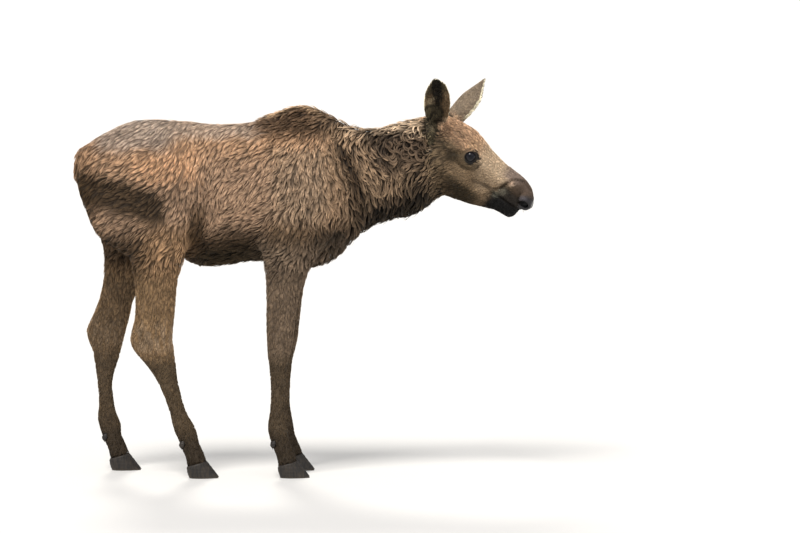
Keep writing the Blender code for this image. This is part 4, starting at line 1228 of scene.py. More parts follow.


# Markings and painted light and shade, shared by the skin and every lock: each is a colour, its strength and
# the places it fades over. x, z: on the animal; y: out from the middle; headX, neckX: before the leaning
# planes;
# along, side, up: on the head; far: from an eye; ear: from the ear's root; part, rise, streak, spot: see
# buildMarkings; the others are the values kept on the points
markingsAndShade = {
    "ground": (172, 142, 116),
    "layers": [
        # lighter along the back: partly paler hair, partly painted light falling from above
        ("back", (200, 160, 124), 0.9, [("z", 0.8, 0.92)]),
        ("croup", (186, 150, 118), 0.8, [("x", -0.3, -0.42), ("z", 0.72, 0.86)]),
        ("rear", (150, 118, 90), 0.7, [("x", -0.5, -0.56)]),
        ("hip", (210, 166, 128), 0.8, [("x", -0.24, -0.3), ("x", -0.46, -0.38), ("z", 0.76, 0.82),
         ("z", 0.9, 0.86)]),
        # painted sheen: a grey reflection over the top of the croup
        ("paintedCroupSheen", (172, 158, 146), 0.7, [("x", -0.55, -0.51), ("x", -0.31, -0.37), ("z", 0.85, 0.885)]),
        # painted sheen: a pale greyish reflection along the loin
        ("paintedLoinSheen", (190, 170, 152), 0.8, [("z", 0.885, 0.912), ("x", -0.5, -0.4), ("x", -0.06, -0.14)]),
        # darker low on the ribs and the shoulder: partly darker hair, partly painted shade under the body
        ("ribsLow", (66, 50, 32), 0.9, [("z", 0.7, 0.62)]),
        ("shoulderLow", (96, 76, 54), 0.85, [("x", -0.1, -0.05), ("z", 0.73, 0.66)]),
        ("strands", (176, 144, 112), 0.6, [("x", 0.03, 0.055), ("x", 0.11, 0.092), ("z", 0.66, 0.72),
         ("z", 0.9, 0.86)]),
        # darker band over the thigh and along its rear edge: partly darker hair, partly painted shade
        ("thighDark", (46, 34, 16), 0.88, [("rise", -0.048, -0.004), ("rise", 0.086, 0.042),
         ("x", -0.325, -0.375), ("x", -0.605, -0.585)]),
        ("rearEdge", (66, 50, 30), 0.75, [("x", -0.52, -0.56), ("z", 0.79, 0.74), ("z", 0.56, 0.62)]),
        ("stifle", (176, 141, 106), 0.85, [("x", -0.44, -0.36), ("x", -0.25, -0.3), ("z", 0.7, 0.64)]),
        # painted shade in the fold of the flank before the thigh
        ("flankFold", (84, 64, 42), 0.8, [("x", -0.305, -0.285), ("x", -0.235, -0.262), ("z", 0.6, 0.64),
         ("z", 0.76, 0.7)]),
        # darker belly: partly darker hair, partly painted shade underneath
        ("belly", (60, 51, 36), 0.9, [("z", 0.625, 0.58), ("x", -0.32, -0.25), ("x", 0.16, 0.06),
         ("y", 0.092, 0.07)]),
        ("shoulder", (160, 138, 114), 0.6, [("x", -0.1, -0.04), ("x", 0.09, 0.04), ("z", 0.66, 0.72),
         ("z", 0.9, 0.86)]),
        ("humpSide", (78, 60, 44), 0.9, [("x", -0.15, -0.07), ("x", 0.12, 0.05), ("z", 0.885, 0.925)]),
        # painted rim light: the upward-facing top of the hump lighter
        ("paintedHumpRimLight", (226, 190, 150), 0.9, [("x", -0.16, -0.09), ("x", 0.16, 0.09), ("z", 0.935, 0.955),
         ("facing", 0.66, 0.92)]),
        ("neck", (132, 110, 87), 0.9, [("neckX", 0.05, 0.12)]),
        # painted shade under the curls of the upper neck
        ("neckUpper", (72, 59, 47), 0.9, [("neckX", 0.17, 0.22), ("z", 0.8, 0.85),
         ("headX", 0.375, 0.335)]),
        ("nape", (214, 188, 158), 0.85, [("neckX", 0.12, 0.18), ("z", 0.898, 0.922)]),
        ("parting", (58, 44, 30), 0.85, [("part", -0.016, 0.0), ("part", 0.03, 0.01), ("z", 0.64, 0.7),
         ("z", 0.915, 0.88)]),
        # darker low on the neck, the throat and the brisket: partly darker hair, partly painted shade
        # underneath
        ("neckLow", (36, 29, 20), 0.88, [("neckX", 0.1, 0.16), ("z", 0.79, 0.7)]),
        ("throat", (12, 9, 6), 0.92, [("neckX", 0.14, 0.2), ("z", 0.79, 0.705)]),
        ("throatFront", (30, 25, 17), 0.85, [("neckX", 0.235, 0.3), ("z", 0.845, 0.765)]),
        ("brisket", (16, 13, 9), 0.92, [("x", 0.01, 0.07), ("z", 0.715, 0.635)]),
        ("upperLeg", (150, 122, 90), 0.9, [("z", 0.6, 0.5)]),
        ("hock", (168, 146, 122), 0.5, [("z", 0.33, 0.35), ("z", 0.43, 0.395), ("x", -0.1, -0.3),
         ("streak", 0.42, 0.54)]),
        ("forearm", (124, 106, 88), 0.9, [("x", -0.13, -0.09), ("z", 0.68, 0.6)]),
        ("shank", (86, 72, 54), 0.9, [("z", 0.35, 0.29)]),
        # painted shade on the inner sides of the legs
        ("inside", (96, 80, 62), 0.6, [("z", 0.56, 0.5), ("y", 0.074, 0.06)]),
        ("pastern", (58, 48, 36), 0.9, [("z", 0.17, 0.08)]),
        ("face", (128, 107, 82), 1.0, [("headX", 0.315, 0.365)]),
        ("forehead", (202, 165, 132), 0.95, [("headX", 0.315, 0.365), ("up", -0.055, -0.022),
         ("along", 0.22, 0.15)]),
        ("foreheadGaps", (84, 64, 46), 0.62, [("headX", 0.335, 0.375), ("up", -0.05, -0.03),
         ("along", 0.13, 0.095), ("streak", 0.55, 0.64)]),
        ("bridge", (192, 169, 141), 0.9, [("along", 0.11, 0.16), ("along", 0.27, 0.22),
         ("up", -0.07, -0.04)]),
        ("cheekPale", (168, 145, 118), 0.7, [("spot", (0.19, -0.07), (0.045, 0.016))]),
        ("cheekBack", (104, 90, 70), 0.55, [("headX", 0.315, 0.365), ("along", 0.1, 0.05),
         ("up", -0.02, -0.06)]),
        # darker under the jaw: partly darker hair, partly painted shade
        ("jaw", (38, 30, 14), 0.9, [("headX", 0.345, 0.395), ("up", -0.1, -0.124), ("along", 0.235, 0.18)]),
        ("noseTop", (134, 117, 106), 0.9, [("along", 0.205, 0.235), ("up", -0.045, -0.025)]),
        ("noseFront", (92, 76, 64), 0.9, [("along", 0.25, 0.28)]),
        ("muzzle", (34, 30, 25), 0.95, [("along", 0.226, 0.25), ("up", -0.036, -0.058)]),
        ("domeMid", (64, 50, 38), 0.75, [("spot", (0.272, -0.04), (0.024, 0.008))]),
        # painted highlight on the top of the swelling behind the nostril
        ("paintedDomeHighlight", (196, 168, 144), 0.85, [("spot", (0.25, -0.034), (0.013, 0.003))]),
        ("lipPale", (128, 122, 106), 0.6, [("spot", (0.246, -0.068), (0.017, 0.004))]),
        ("noseTip", (52, 50, 52), 0.95, [("along", 0.292, 0.306), ("up", -0.028, -0.044)]),
        # painted reflection: a pale shine on the swelling over the nostril
        ("wing", (92, 88, 92), 0.7, [("spot", (0.298, -0.05), (0.014, 0.004))]),
        ("chin", (7, 6, 5), 0.98, [("along", 0.206, 0.236), ("up", -0.076, -0.086)]),
        ("lipGrey", (120, 118, 104), 0.6, [("spot", (0.234, -0.084), (0.015, 0.004))]),
        ("eyeShade", (84, 70, 50), 0.7, [("far", 0.044, 0.026), ("up", -0.026, -0.045)]),
        # painted shade in the soft fold below and behind the eye
        ("shadeBehindEye", (44, 37, 23), 0.8, [("spot", (0.086, -0.068), (0.021, 0.007))]),
        ("brow", (192, 158, 122), 0.6, [("spot", (0.118, -0.014), (0.022, 0.008))]),
        ("lids", (24, 21, 20), 0.97, [("lid", 0.12, 0.7)]),
        ("ear", (138, 123, 104), 0.95, [("ear", -0.01, 0.02)]),
        ("earInner", (128, 104, 76), 0.95, [("ear", -0.005, 0.02), ("earInner", 0.35, 0.65)]),
        ("earShade", (84, 76, 56), 0.85, [("ear", 0.075, 0.105), ("earInner", 0.6, 0.9)]),
        # painted shadow deep inside the cup of the ear
        ("earCupShadow", (10, 8, 5), 0.98, [("ear", 0.04, 0.075), ("ear", 0.16, 0.146), ("earInner", 0.7, 0.92),
         ("earSide", 0.011, 0.003), ("earSide", -0.026, -0.016)]),
        ("earFold", (22, 18, 12), 0.9, [("ear", 0.01, 0.03), ("ear", 0.085, 0.06), ("earInner", 0.7, 0.92),
         ("earSide", 0.003, -0.002), ("earSide", -0.018, -0.01)]),
        ("earPale", (206, 186, 152), 0.8, [("earInner", 0.5, 0.8), ("ear", 0.006, 0.018),
         ("ear", 0.088, 0.066), ("earSide", -0.002, 0.004), ("streak", 0.42, 0.52)]),
        ("earWisps", (176, 160, 130), 0.5, [("earInner", 0.5, 0.8), ("ear", 0.12, 0.09),
         ("streak", 0.6, 0.68)]),
        ("earRim", (250, 240, 210), 0.97, [("ear", 0.0, 0.03), ("earRim", 0.2, 0.55)]),
        ("earFoot", (104, 94, 72), 0.92, [("earFoot", 0.4, 0.6)]),
        ("earFootEdge", (40, 34, 22), 0.85, [("earFoot", 0.18, 0.38), ("earFoot", 0.8, 0.55)]),
        # painted shade down the middle of the hollow at the ear's foot
        ("earFootDark", (26, 21, 13), 0.88, [("earFoot", 0.85, 1.2), ("streak", 0.4, 0.54)]),
        # painted shadow in the deepest spot of that hollow
        ("earFootHole", (10, 8, 5), 0.95, [("spot", (-0.021, -0.026), (0.0075, 0.003)),
         ("side", 0.0, -0.01)]),
        ("earFootPale", (184, 166, 134), 0.75, [("spot", (0.003, -0.043), (0.0065, 0.002)),
         ("side", 0.0, -0.01)]),
        ("earBelow", (112, 110, 104), 0.4, [("spot", (0.027, -0.086), (0.012, 0.004)),
         ("side", 0.0, -0.01)]),
        # painted shade in the folds of the face and along the mouth
        ("paintedCreaseShade", (34, 27, 18), 0.5, [("paintedCreaseShade", 0.3, 1.0)]),
        # painted shade wherever the surface faces downwards, fading out over the head
        ("paintedUndersideShade", (44, 36, 24), 0.62, [("facing", -0.25, -0.85), ("headX", 0.42, 0.36)]),
    ],
    "wobble": 0.02, "wobbleScale": 11.0, "headWobble": 0.011,
    "partAt": (0.097, 0.892), "partLean": 0.25, "bandAt": (-0.45, 0.722), "bandSlope": 0.3,
    "streaks": (95.0, 95.0, 26.0),
}


def buildMarkings():
    inputs = [("Place", "NodeSocketVector", None)] + [(mark, "NodeSocketFloat", 0.0) for mark in pointMarks]
    tree, entry, leave = newGroup("coatMarkingsAndShade", inputs, [("Colour", "NodeSocketColor")])
    place = entry.outputs["Place"]
    wander = addNode(tree, "TexNoise", {"Vector": place, "Scale": markingsAndShade["wobbleScale"], "Detail": 3.0})
    shift = vectorMaths(tree, "SUBTRACT", wander.outputs["Color"], (0.5, 0.5, 0.5))
    body, onFace = [vectorMaths(tree, "MULTIPLY_ADD", shift, (markingsAndShade[key],) * 3, place)
                    for key in ("wobble", "headWobble")]
    split = addNode(tree, "SeparateXYZ", {0: body})
    x, z = split.outputs[0], split.outputs[2]
    sockets = {"x": x, "z": z, "y": maths(tree, "ABSOLUTE", minus(tree, split.outputs[1], midY))}
    sockets.update({mark: entry.outputs[mark] for mark in pointMarks})
    fromHeadZero = vectorMaths(tree, "SUBTRACT", onFace, tuple(headOrigin))
    for key, axis in zip(("along", "side", "up"), headTurn):
        sockets[key] = vectorMaths(tree, "DOT_PRODUCT", fromHeadZero, tuple(axis), output="Value")
    for key, level in (("headX", headLevel), ("neckX", neckLevel)):
        sockets[key] = plus(tree, x, times(tree, minus(tree, z, level), neckLean))
    away = [vectorMaths(tree, "DISTANCE", onFace, tuple(centre), output="Value")
            for centre in eyeCentres.values()]
    sockets["far"] = maths(tree, "MINIMUM", *away)
    runs = []
    for ear in ears.values():
        offset = vectorMaths(tree, "SUBTRACT", onFace, tuple(ear["root"]))
        reach = vectorMaths(tree, "DOT_PRODUCT", offset, tuple(ear["axis"]), output="Value")
        size = vectorMaths(tree, "LENGTH", offset, output="Value")
        square = minus(tree, times(tree, size, size), times(tree, reach, reach))
        off = maths(tree, "SQRT", maths(tree, "MAXIMUM", square, 0.0))
        runs.append(minus(tree, reach, ramped(tree, off, 0.05, 0.06)))
    sockets["ear"] = maths(tree, "MAXIMUM", *runs)
    # the parting before the shoulder, a dark band of partly painted shade that sinks towards the front, and
    # streaks along the hair
    behind, down = minus(tree, x, markingsAndShade["partAt"][0]), minus(tree, markingsAndShade["partAt"][1], z)
    sockets["part"] = minus(tree, behind, times(tree, down, markingsAndShade["partLean"]))
    above, ahead = minus(tree, z, markingsAndShade["bandAt"][1]), plus(tree, x, -markingsAndShade["bandAt"][0])
    sockets["rise"] = plus(tree, above, times(tree, ahead, markingsAndShade["bandSlope"]))
    stretch = vectorMaths(tree, "MULTIPLY", place, markingsAndShade["streaks"])
    sockets["streak"] = noise(tree, stretch, 1.0, 2.0)
    colour = paint(*markingsAndShade["ground"])
    for _, tint, strength, edges in markingsAndShade["layers"]:
        mask = None
        for axis, low, high in edges:
            if axis == "spot":
                # low is a place (along, up) and high its reach, outer and inner
                across, above = minus(tree, sockets["along"], low[0]), minus(tree, sockets["up"], low[1])
                square = plus(tree, times(tree, across, across), times(tree, above, above))
                soft = ramped(tree, maths(tree, "SQRT", square), *high)
            else:
                soft = ramped(tree, sockets[axis], low, high)
            mask = soft if mask is None else times(tree, mask, soft)
        colour = mixed(tree, times(tree, mask, strength), colour, paint(*tint))
    mottle = ramped(tree, noise(tree, place, 26.0, 4.0, 0.6), 0.3, 0.7, 0.86, 1.14, "LINEAR")
    tree.links.new(scaled(tree, colour, mottle), leave.inputs["Colour"])
    return tree


coatMarkingsAndShade = buildMarkings()


def attributeOf(tree, name, output="Fac"):
    return addNode(tree, "Attribute", attribute_name=name).outputs[output]


def objectPlace(tree):
    return addNode(tree, "TexCoord").outputs["Object"]


def bumped(tree, shader, height, strength, depth):
    bump = addNode(tree, "Bump", {"Strength": strength, "Distance": depth, "Height": height})
    tree.links.new(bump.outputs["Normal"], shader.inputs["Normal"])


def newMaterial(name, values):
    material = bpy.data.materials.new(name)
    material.use_nodes = True
    shader = material.node_tree.nodes["Principled BSDF"]
    for key, value in values.items():
        shader.inputs[key].default_value = value
    return material, material.node_tree, shader


def markedColour(tree, place):
    # the shared markings and painted light and shade at a place, with the values kept on the points
    group = addNode(tree, "Group", node_tree=coatMarkingsAndShade)
    tree.links.new(place, group.inputs["Place"])
    for mark in pointMarks:
        tree.links.new(attributeOf(tree, mark), group.inputs[mark])
    return group.outputs["Colour"]


locks = {
    # root and tip brightness (the dark roots partly painted shade between locks), spread between locks,
    # colour of sunlit tips and how much of it shows
    "body": {"root": 0.24, "tip": 1.54, "from": 0.1, "to": 0.9, "spread": 0.42, "tipTint": (224, 194, 162),
             "tipShare": 0.45, "roughness": 0.52},
    "neck": {"root": 0.15, "tip": 1.85, "from": 0.15, "to": 0.9, "spread": 0.62, "tipTint": (214, 184, 150),
             "tipShare": 0.7, "roughness": 0.5},
    "curl": {"root": 0.34, "tip": 2.05, "from": 0.0, "to": 0.5, "spread": 0.52, "tipTint": (222, 194, 160),
             "tipShare": 0.6, "roughness": 0.48},
    "head": {"root": 0.38, "tip": 1.42, "from": 0.0, "to": 0.8, "spread": 0.34, "tipTint": (222, 196, 164),
             "tipShare": 0.2, "roughness": 0.56},
    "legs": {"root": 0.36, "tip": 1.42, "from": 0.05, "to": 0.85, "spread": 0.5, "tipTint": (196, 168, 130),
             "tipShare": 0.34, "roughness": 0.55},
    "ears": {"root": 0.42, "tip": 1.36, "from": 0.0, "to": 0.8, "spread": 0.44, "tipTint": (230, 214, 184),
             "tipShare": 0.6, "roughness": 0.6},
}


# Fine hairs drawn across each lock, and how the coat takes the light
hairLook = {"hairs": 9.0, "contrast": 0.24, "depth": 0.0006, "strength": 0.6, "tipGlow": 1.95,
            "specular": 0.12, "sheen": 0.03, "sheenRoughness": 0.45}


def lockMaterial(name, values):
    material, tree, shader = newMaterial(name, {
        "Roughness": values["roughness"], "Specular IOR Level": hairLook["specular"],
        "Sheen Weight": hairLook["sheen"], "Sheen Roughness": hairLook["sheenRoughness"]})
    marked = markedColour(tree, attributeOf(tree, "rootPlace", "Vector"))
    along, tone = attributeOf(tree, "alongLock"), attributeOf(tree, "lockTone")
    # each lock darker towards its root: partly darker roots, partly painted shade between the overlapping
    # locks
    shade = ramped(tree, along, values["from"], values["to"], values["root"], values["tip"], "LINEAR")
    toned = ramped(tree, tone, 0, 1, 1 - values["spread"], 1 + values["spread"], "LINEAR")
    # single hairs within a lock
    spread = times(tree, attributeOf(tree, "acrossLock"), hairLook["hairs"])
    strand = addNode(tree, "CombineXYZ", {0: spread, 1: along, 2: times(tree, tone, 90.0)}).outputs[0]
    hairs = noise(tree, strand, 1.0, 2.0, 0.6)
    fine = ramped(tree, hairs, 0.3, 0.7, 1 - hairLook["contrast"], 1 + hairLook["contrast"], "LINEAR")
    bumped(tree, shader, hairs, hairLook["strength"], hairLook["depth"])
    colour = scaled(tree, marked, times(tree, times(tree, shade, toned), fine))
    # tips that catch the light
    pale = ramped(tree, tone, 0.35, 0.95, 0.0, values["tipShare"])
    pale = times(tree, ramped(tree, along, 0.55, 1.0), pale)
    tipColour = mixed(tree, 0.15, scaled(tree, marked, hairLook["tipGlow"]), paint(*values["tipTint"]))
    tree.links.new(mixed(tree, pale, colour, tipColour), shader.inputs["Base Color"])
    return material


skinLook = {"shadeUnderCoat": 0.42, "bare": 0.8, "grain": 420.0, "pores": 900.0, "depth": 0.0006,
            "strength": 0.25, "roughness": (0.68, 0.34), "specular": 0.22}


def skinMaterial():
    material, tree, shader = newMaterial("calfSkin", {"Specular IOR Level": skinLook["specular"]})
    place = objectPlace(tree)
    marked = markedColour(tree, place)
    cover, bare = attributeOf(tree, "coatDepth"), attributeOf(tree, "bareSkin")
    # painted shade: the skin darker where the coat covers it, as in the gaps between the locks
    shade = ramped(tree, cover, 0.0, 1.0, skinLook["bare"], skinLook["shadeUnderCoat"], "LINEAR")
    grain = ramped(tree, noise(tree, place, skinLook["grain"], 2.0), 0.3, 0.7, 0.86, 1.14, "LINEAR")
    tree.links.new(scaled(tree, marked, times(tree, shade, grain)), shader.inputs["Base Color"])
    rough = ramped(tree, bare, 0.0, 1.0, *skinLook["roughness"], "LINEAR")
    tree.links.new(rough, shader.inputs["Roughness"])
    pores = noise(tree, place, skinLook["pores"], 2.0)
    bumped(tree, shader, pores, skinLook["strength"], skinLook["depth"])
    return material


hoofLook = {"dark": (22, 18, 15), "pale": (58, 49, 39), "sole": (84, 74, 61), "soleHigh": 0.006,
            "stretch": (260.0, 260.0, 26.0), "ringStretch": (22.0, 22.0, 420.0), "depth": 0.0008,
            "strength": 0.5, "roughness": (0.46, 0.66)}


def hoofMaterial():
    material, tree, shader = newMaterial("hoofHorn", {})
    place = objectPlace(tree)
    long, wide = [addNode(tree, "Mapping", {"Vector": place, "Scale": hoofLook[key]}).outputs[0]
                  for key in ("stretch", "ringStretch")]
    fibres, rings = noise(tree, long, 1.0, 4.0, 0.6), noise(tree, wide, 1.0, 2.0)
    height = addNode(tree, "SeparateXYZ", {0: place}).outputs[2]
    dark, pale, sole = [paint(*hoofLook[key]) for key in ("dark", "pale", "sole")]
    colour = mixed(tree, ramped(tree, fibres, 0.35, 0.75), dark, pale)
    colour = mixed(tree, ramped(tree, height, hoofLook["soleHigh"], 0.0, 0.0, 0.5), colour, sole)
    tree.links.new(colour, shader.inputs["Base Color"])
    rough = ramped(tree, rings, 0.3, 0.7, *hoofLook["roughness"], "LINEAR")
    tree.links.new(rough, shader.inputs["Roughness"])
    ribbed = plus(tree, times(tree, fibres, 0.6), rings)
    bumped(tree, shader, ribbed, hoofLook["strength"], hoofLook["depth"])
    return material


# Horn: how round and how ringed it is, how the heel curves, and the triangles of all hooves or all dewclaws
hoofShape = {"voxel": 0.0013, "rounds": 24, "heelTuck": 0.008, "heelFull": 0.0025, "rings": 5,
             "ringHigh": 0.00025, "soleFlat": 0.0012, "faces": 52000}


def shapeHorn(mesh):
    points = pointsOf(mesh)
    low, high = points[:, 2].min(), points[:, 2].max()
    soft = evened(points, edgesOf(mesh), hoofShape["rounds"], 0.5)
    setPoints(mesh, soft)
    # growth rings, closer together near the crown, and a sole left flat
    rise = ((soft[:, 2] - low) / (high - low)).clip(0, 1)
    ring = np.sin(rise**0.8 * hoofShape["rings"] * 2 * math.pi) * hoofShape["ringHigh"]
    ring = ring * fadeIn(rise, 0.12, 0.3)
    soft = soft + normalsOf(mesh) * ring[:, None]
    # the heel rounds away to the front below and stays full above
    heel = fadeOut((points[:, 0] - points[:, 0].min()) / np.ptp(points[:, 0]), 0.0, 0.45)
    tuck, full = hoofShape["heelTuck"] * (1 - rise) ** 2, hoofShape["heelFull"] * np.sin(math.pi * rise)
    soft[:, 0] += heel * (tuck - full)
    sole = points[:, 2] < low + hoofShape["soleFlat"]
    soft[:, 2] = np.where(sole, points[:, 2], soft[:, 2]).clip(max(low, 0.0), None)
    setPoints(mesh, soft)
    return mesh


def buildHorn(name, nodes):
    parts = []
    for node in nodes:
        piece = addObject("part", partOf(node))
        parts.append(shapeHorn(remeshed(piece, hoofShape["voxel"]).data))
        bpy.data.objects.remove(piece)
    obj = thinned(joined(name, parts), hoofShape["faces"])
    obj.data.shade_smooth()
    say(f"{name}: {len(obj.data.polygons)} triangles")
    return obj


# Eyes: a dark globe with a clear bulge over the iris
eyeLook = {"inset": 0.0003, "bulge": 0.0007, "bulgeReach": 0.75, "iris": 0.62, "irisSoft": 0.16,
           "pupilWide": 0.42, "pupilHigh": 0.26, "irisDark": (18, 18, 24), "irisPale": (36, 32, 36),
           "pupil": (5, 7, 14), "around": (16, 15, 16), "roughness": 0.05, "specular": 0.22}


def buildEye(side):
    out, fore, up = [Vector(v) for v in eyeAxes(side)]
    bm = bmesh.new()
    bmesh.ops.create_uvsphere(bm, u_segments=40, v_segments=28, radius=eyeRadius - eyeLook["inset"])
    turn = Matrix((fore, up, out)).transposed()
    if turn.determinant() < 0:
        turn = Matrix((-fore, up, out)).transposed()
    marks = {"gaze": [], "across": [], "high": []}
    for vert in bm.verts:
        way = vert.co.normalized()
        away = math.acos(max(-1.0, min(1.0, way.z)))
        marks["gaze"].append(away)
        marks["across"].append(vert.co.x / eyeRadius)
        marks["high"].append(vert.co.y / eyeRadius)
        vert.co += way * eyeLook["bulge"] * max(0.0, 1 - (away / eyeLook["bulgeReach"]) ** 2)
    bm.transform(Matrix.Translation(eyeCentres[side]) @ turn.to_4x4())
    mesh = bpy.data.meshes.new("eyeball_" + side)
    bm.to_mesh(mesh)
    bm.free()
    for label, values in marks.items():
        addAttribute(mesh, label, values)
    mesh.shade_smooth()
    return addObject("eyeball_" + side, mesh)


def eyeMaterial():
    material, tree, shader = newMaterial(
        "calfEye", {"Roughness": eyeLook["roughness"], "Specular IOR Level": eyeLook["specular"]})
    gaze = attributeOf(tree, "gaze")
    across, high = [maths(tree, "DIVIDE", attributeOf(tree, key), eyeLook[half])
                    for key, half in (("across", "pupilWide"), ("high", "pupilHigh"))]
    pupil = maths(tree, "SQRT", plus(tree, times(tree, across, across), times(tree, high, high)))
    dark, pale, black, around = [paint(*eyeLook[key]) for key in ("irisDark", "irisPale", "pupil", "around")]
    iris = mixed(tree, noise(tree, objectPlace(tree), 700.0, 3.0), dark, pale)
    colour = mixed(tree, ramped(tree, pupil, 1.15, 0.85), iris, black)
    edge = ramped(tree, gaze, eyeLook["iris"], eyeLook["iris"] + eyeLook["irisSoft"])
    tree.links.new(mixed(tree, edge, colour, around), shader.inputs["Base Color"])
    return material


# Bristles: curved tapering hairs on points that carry their own way and size
def bristleTree(material):
    tree = bpy.data.node_groups.new("bristles", "GeometryNodeTree")
    sockets = (("Points", "Geometry", None), ("Length", "Float", 0.02), ("Thickness", "Float", 0.0004),
               ("Bend", "Float", 0.3), ("Seed", "Int", 3))
    for label, kind, value in sockets:
        socket = tree.interface.new_socket(label, in_out="INPUT", socket_type="NodeSocket" + kind)
        if value is not None:
            socket.default_value = value
    tree.interface.new_socket("Bristles", in_out="OUTPUT", socket_type="NodeSocketGeometry")

    def add(kind, inputs=None, **settings):
        node = tree.nodes.new(kind)
        for key, value in settings.items():
            setattr(node, key, value)
        for key, value in (inputs or {}).items():
            setInput(tree, node.inputs[key], value)
        return node

    def product(a, b):
        return add("ShaderNodeMath", {0: a, 1: b}, operation="MULTIPLY").outputs[0]

    def named(label):
        return add("GeometryNodeInputNamedAttribute", {"Name": label}, data_type="FLOAT_VECTOR").outputs[0]

    given, leave = add("NodeGroupInput").outputs, add("NodeGroupOutput")
    curve = add("GeometryNodeCurveQuadraticBezier", {"Resolution": 5, "Start": (0, 0, 0)})
    for label, share, bend in (("Middle", 0.5, 0.15), ("End", 1.0, 1.0)):
        aside = product(product(given["Length"], given["Bend"]), bend)
        point = add("ShaderNodeCombineXYZ", {0: aside, 2: product(given["Length"], share)})
        setInput(tree, curve.inputs[label], point.outputs[0])
    taper = add("GeometryNodeSplineParameter").outputs["Factor"]
    thin = add("ShaderNodeMath", {0: 1.04, 1: taper}, operation="SUBTRACT").outputs[0]
    radius = add("GeometryNodeSetCurveRadius", {"Curve": curve.outputs[0], "Radius": thin})
    half = product(given["Thickness"], 0.5)
    ring = add("GeometryNodeCurvePrimitiveCircle", {"Resolution": 4, "Radius": half})
    tube = add("GeometryNodeCurveToMesh", {"Curve": radius.outputs[0], "Profile Curve": ring.outputs[0],
                                           "Fill Caps": True})
    align = add("FunctionNodeAlignEulerToVector", {"Vector": named("way")}, axis="Z")
    turned = add("FunctionNodeAlignEulerToVector", {"Rotation": align.outputs[0], "Vector": named("bendWay")},
                 axis="X", pivot_axis="Z")
    spread = add("FunctionNodeRandomValue", data_type="FLOAT")
    for key, value in (("Seed", given["Seed"]), (2, 0.65), (3, 1.15)):
        setInput(tree, spread.inputs[key], value)
    place = add("GeometryNodeInstanceOnPoints", {
        "Points": given["Points"], "Instance": tube.outputs[0], "Rotation": turned.outputs[0],
        "Scale": spread.outputs[1]})
    real = add("GeometryNodeRealizeInstances", {0: place.outputs[0]})
    cover = add("GeometryNodeSetMaterial", {"Geometry": real.outputs[0], "Material": material})
    setInput(tree, leave.inputs[0], cover.outputs[0])
    return tree


def bristles(name, tree, roots, ways, bends, values):
    mesh = bpy.data.meshes.new(name)
    mesh.from_pydata([tuple(p) for p in roots], [], [])
    addAttribute(mesh, "way", ways, "FLOAT_VECTOR")
    addAttribute(mesh, "bendWay", bends, "FLOAT_VECTOR")
    obj = addObject(name, mesh)
    modifier = obj.modifiers.new("bristles", "NODES")
    modifier.node_group = tree
    for item in tree.interface.items_tree:
        if item.item_type == "SOCKET" and item.in_out == "INPUT" and item.name in values:
            modifier[item.identifier] = values[item.name]
    applied(obj)
    obj.data.shade_smooth()
    say(f"{name}: {len(roots)} hairs")
    return obj


def bristleMaterial():
    material, tree, shader = newMaterial("darkBristle", {"Roughness": 0.5})
    grain = ramped(tree, noise(tree, objectPlace(tree), 300.0, 1.0), 0.35, 0.65)
    colour = mixed(tree, grain, paint(22, 18, 16), paint(60, 48, 38))
    tree.links.new(colour, shader.inputs["Base Color"])
    return material


whiskerLook = {"count": 50, "Length": 0.01, "Thickness": 0.00028, "Bend": 0.35, "Seed": 5}
lashLook = {"count": 30, "Length": 0.0085, "Thickness": 0.00042, "Bend": 0.55, "Seed": 6}


def whiskerRoots():
    rng = np.random.default_rng(41)
    along, _, up = toHead(field.centres).T
    lips = fadeIn(along, 0.225, 0.27) * fadeOut(up, -0.075, -0.06) * (field.centres[:, 0] > 0.4)
    corner = field.triangles[spreadFaces(whiskerLook["count"], lips, rng)]
    roots, normals, ways = [values[corner].mean(1) for values in (field.points, field.normals, field.way)]
    normals = unit(normals)
    lean = normals * 0.75 - headTurn[2] * 0.45 + headTurn[0] * 0.15 + rng.normal(0, 0.12, (len(corner), 3))
    return roots - normals * 0.0006, unit(lean), -ways


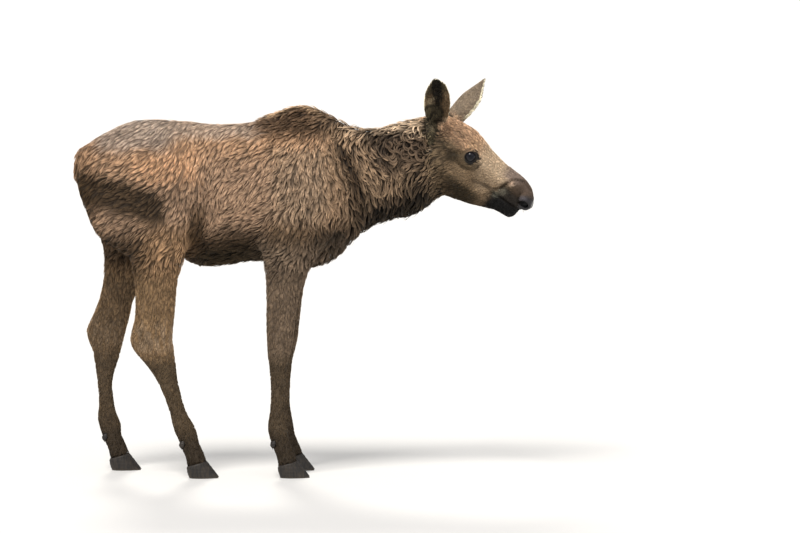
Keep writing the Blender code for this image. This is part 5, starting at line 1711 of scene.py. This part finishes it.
def lashRoots():
    roots, ways, bends = [], [], []
    for side, centre in eyeCentres.items():
        out, fore, up = eyeAxes(side)
        for k in range(lashLook["count"]):
            share = (k + 0.5) / lashLook["count"] * 1.7 - 0.85
            a = share * lids["halfWide"]
            power = lids["corner"]
            b = lids["halfHigh"] * (1 - abs(share) ** power) ** (1 / power) + 0.0006
            way = unit(fore * a + up * b + out * math.sqrt(max(eyeRadius**2 - a * a - b * b, 1e-6)))
            roots.append(np.array(centre) + way * (eyeRadius + lids["rim"] - 0.0002))
            ways.append(unit(way * 0.9 + out * 0.5 + fore * 0.25 * share - up * 0.15))
            bends.append(up)
    return roots, ways, bends


# The skin's values, the looks, and the small pieces
for label, values in field.marks.items():
    addAttribute(skinPiece.data, label, values)
addAttribute(skinPiece.data, "coatDepth", fadeIn(field.sizes[:, 2], 0.0006, 0.005))
addAttribute(skinPiece.data, "bareSkin", field.bare)
skinPiece.data.materials.clear()
skinPiece.data.materials.append(skinMaterial())
skinPiece.data.shade_smooth()
lockMaterials = {name: lockMaterial("coat_" + name, values) for name, values in locks.items()}
lockOf = {"coatNeck": "neck", "coatCurls": "curl", "coatHead": "head", "coatEars": "ears",
          "coatHindLegs": "legs", "coatForeLegs": "legs"}
for name, piece in coatPieces.items():
    piece.data.materials.append(lockMaterials[lockOf.get(name, "body")])
horn = hoofMaterial()
hornNodes = {kind: sorted(n for n in frame["nodes"] if n.startswith(kind)) for kind in ("hoof", "dewclaw")}
hornPieces = {kind: buildHorn(kind + "s", nodes) for kind, nodes in hornNodes.items()}
for piece in hornPieces.values():
    piece.data.materials.append(horn)
eyeFinish = eyeMaterial()
eyeballs = {side: buildEye(side) for side in ("left", "right")}
for eyeball in eyeballs.values():
    eyeball.data.materials.append(eyeFinish)
bristleNodes = bristleTree(bristleMaterial())
whiskers = bristles("whiskers", bristleNodes, *whiskerRoots(), whiskerLook)
lashes = bristles("lashes", bristleNodes, *lashRoots(), lashLook)
say("eyes, hooves and bristles")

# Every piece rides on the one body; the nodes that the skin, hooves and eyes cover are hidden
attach(skinPiece, "root")
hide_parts(*fleshNodes)
for name, piece in coatPieces.items():
    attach(piece, "root")
for kind, piece in hornPieces.items():
    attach(piece, "root")
    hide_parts(*hornNodes[kind])
for side, eyeball in eyeballs.items():
    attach(eyeball, "root")
    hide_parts("eye_" + side)
for piece in (whiskers, lashes):
    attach(piece, "root")

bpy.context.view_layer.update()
say("done")
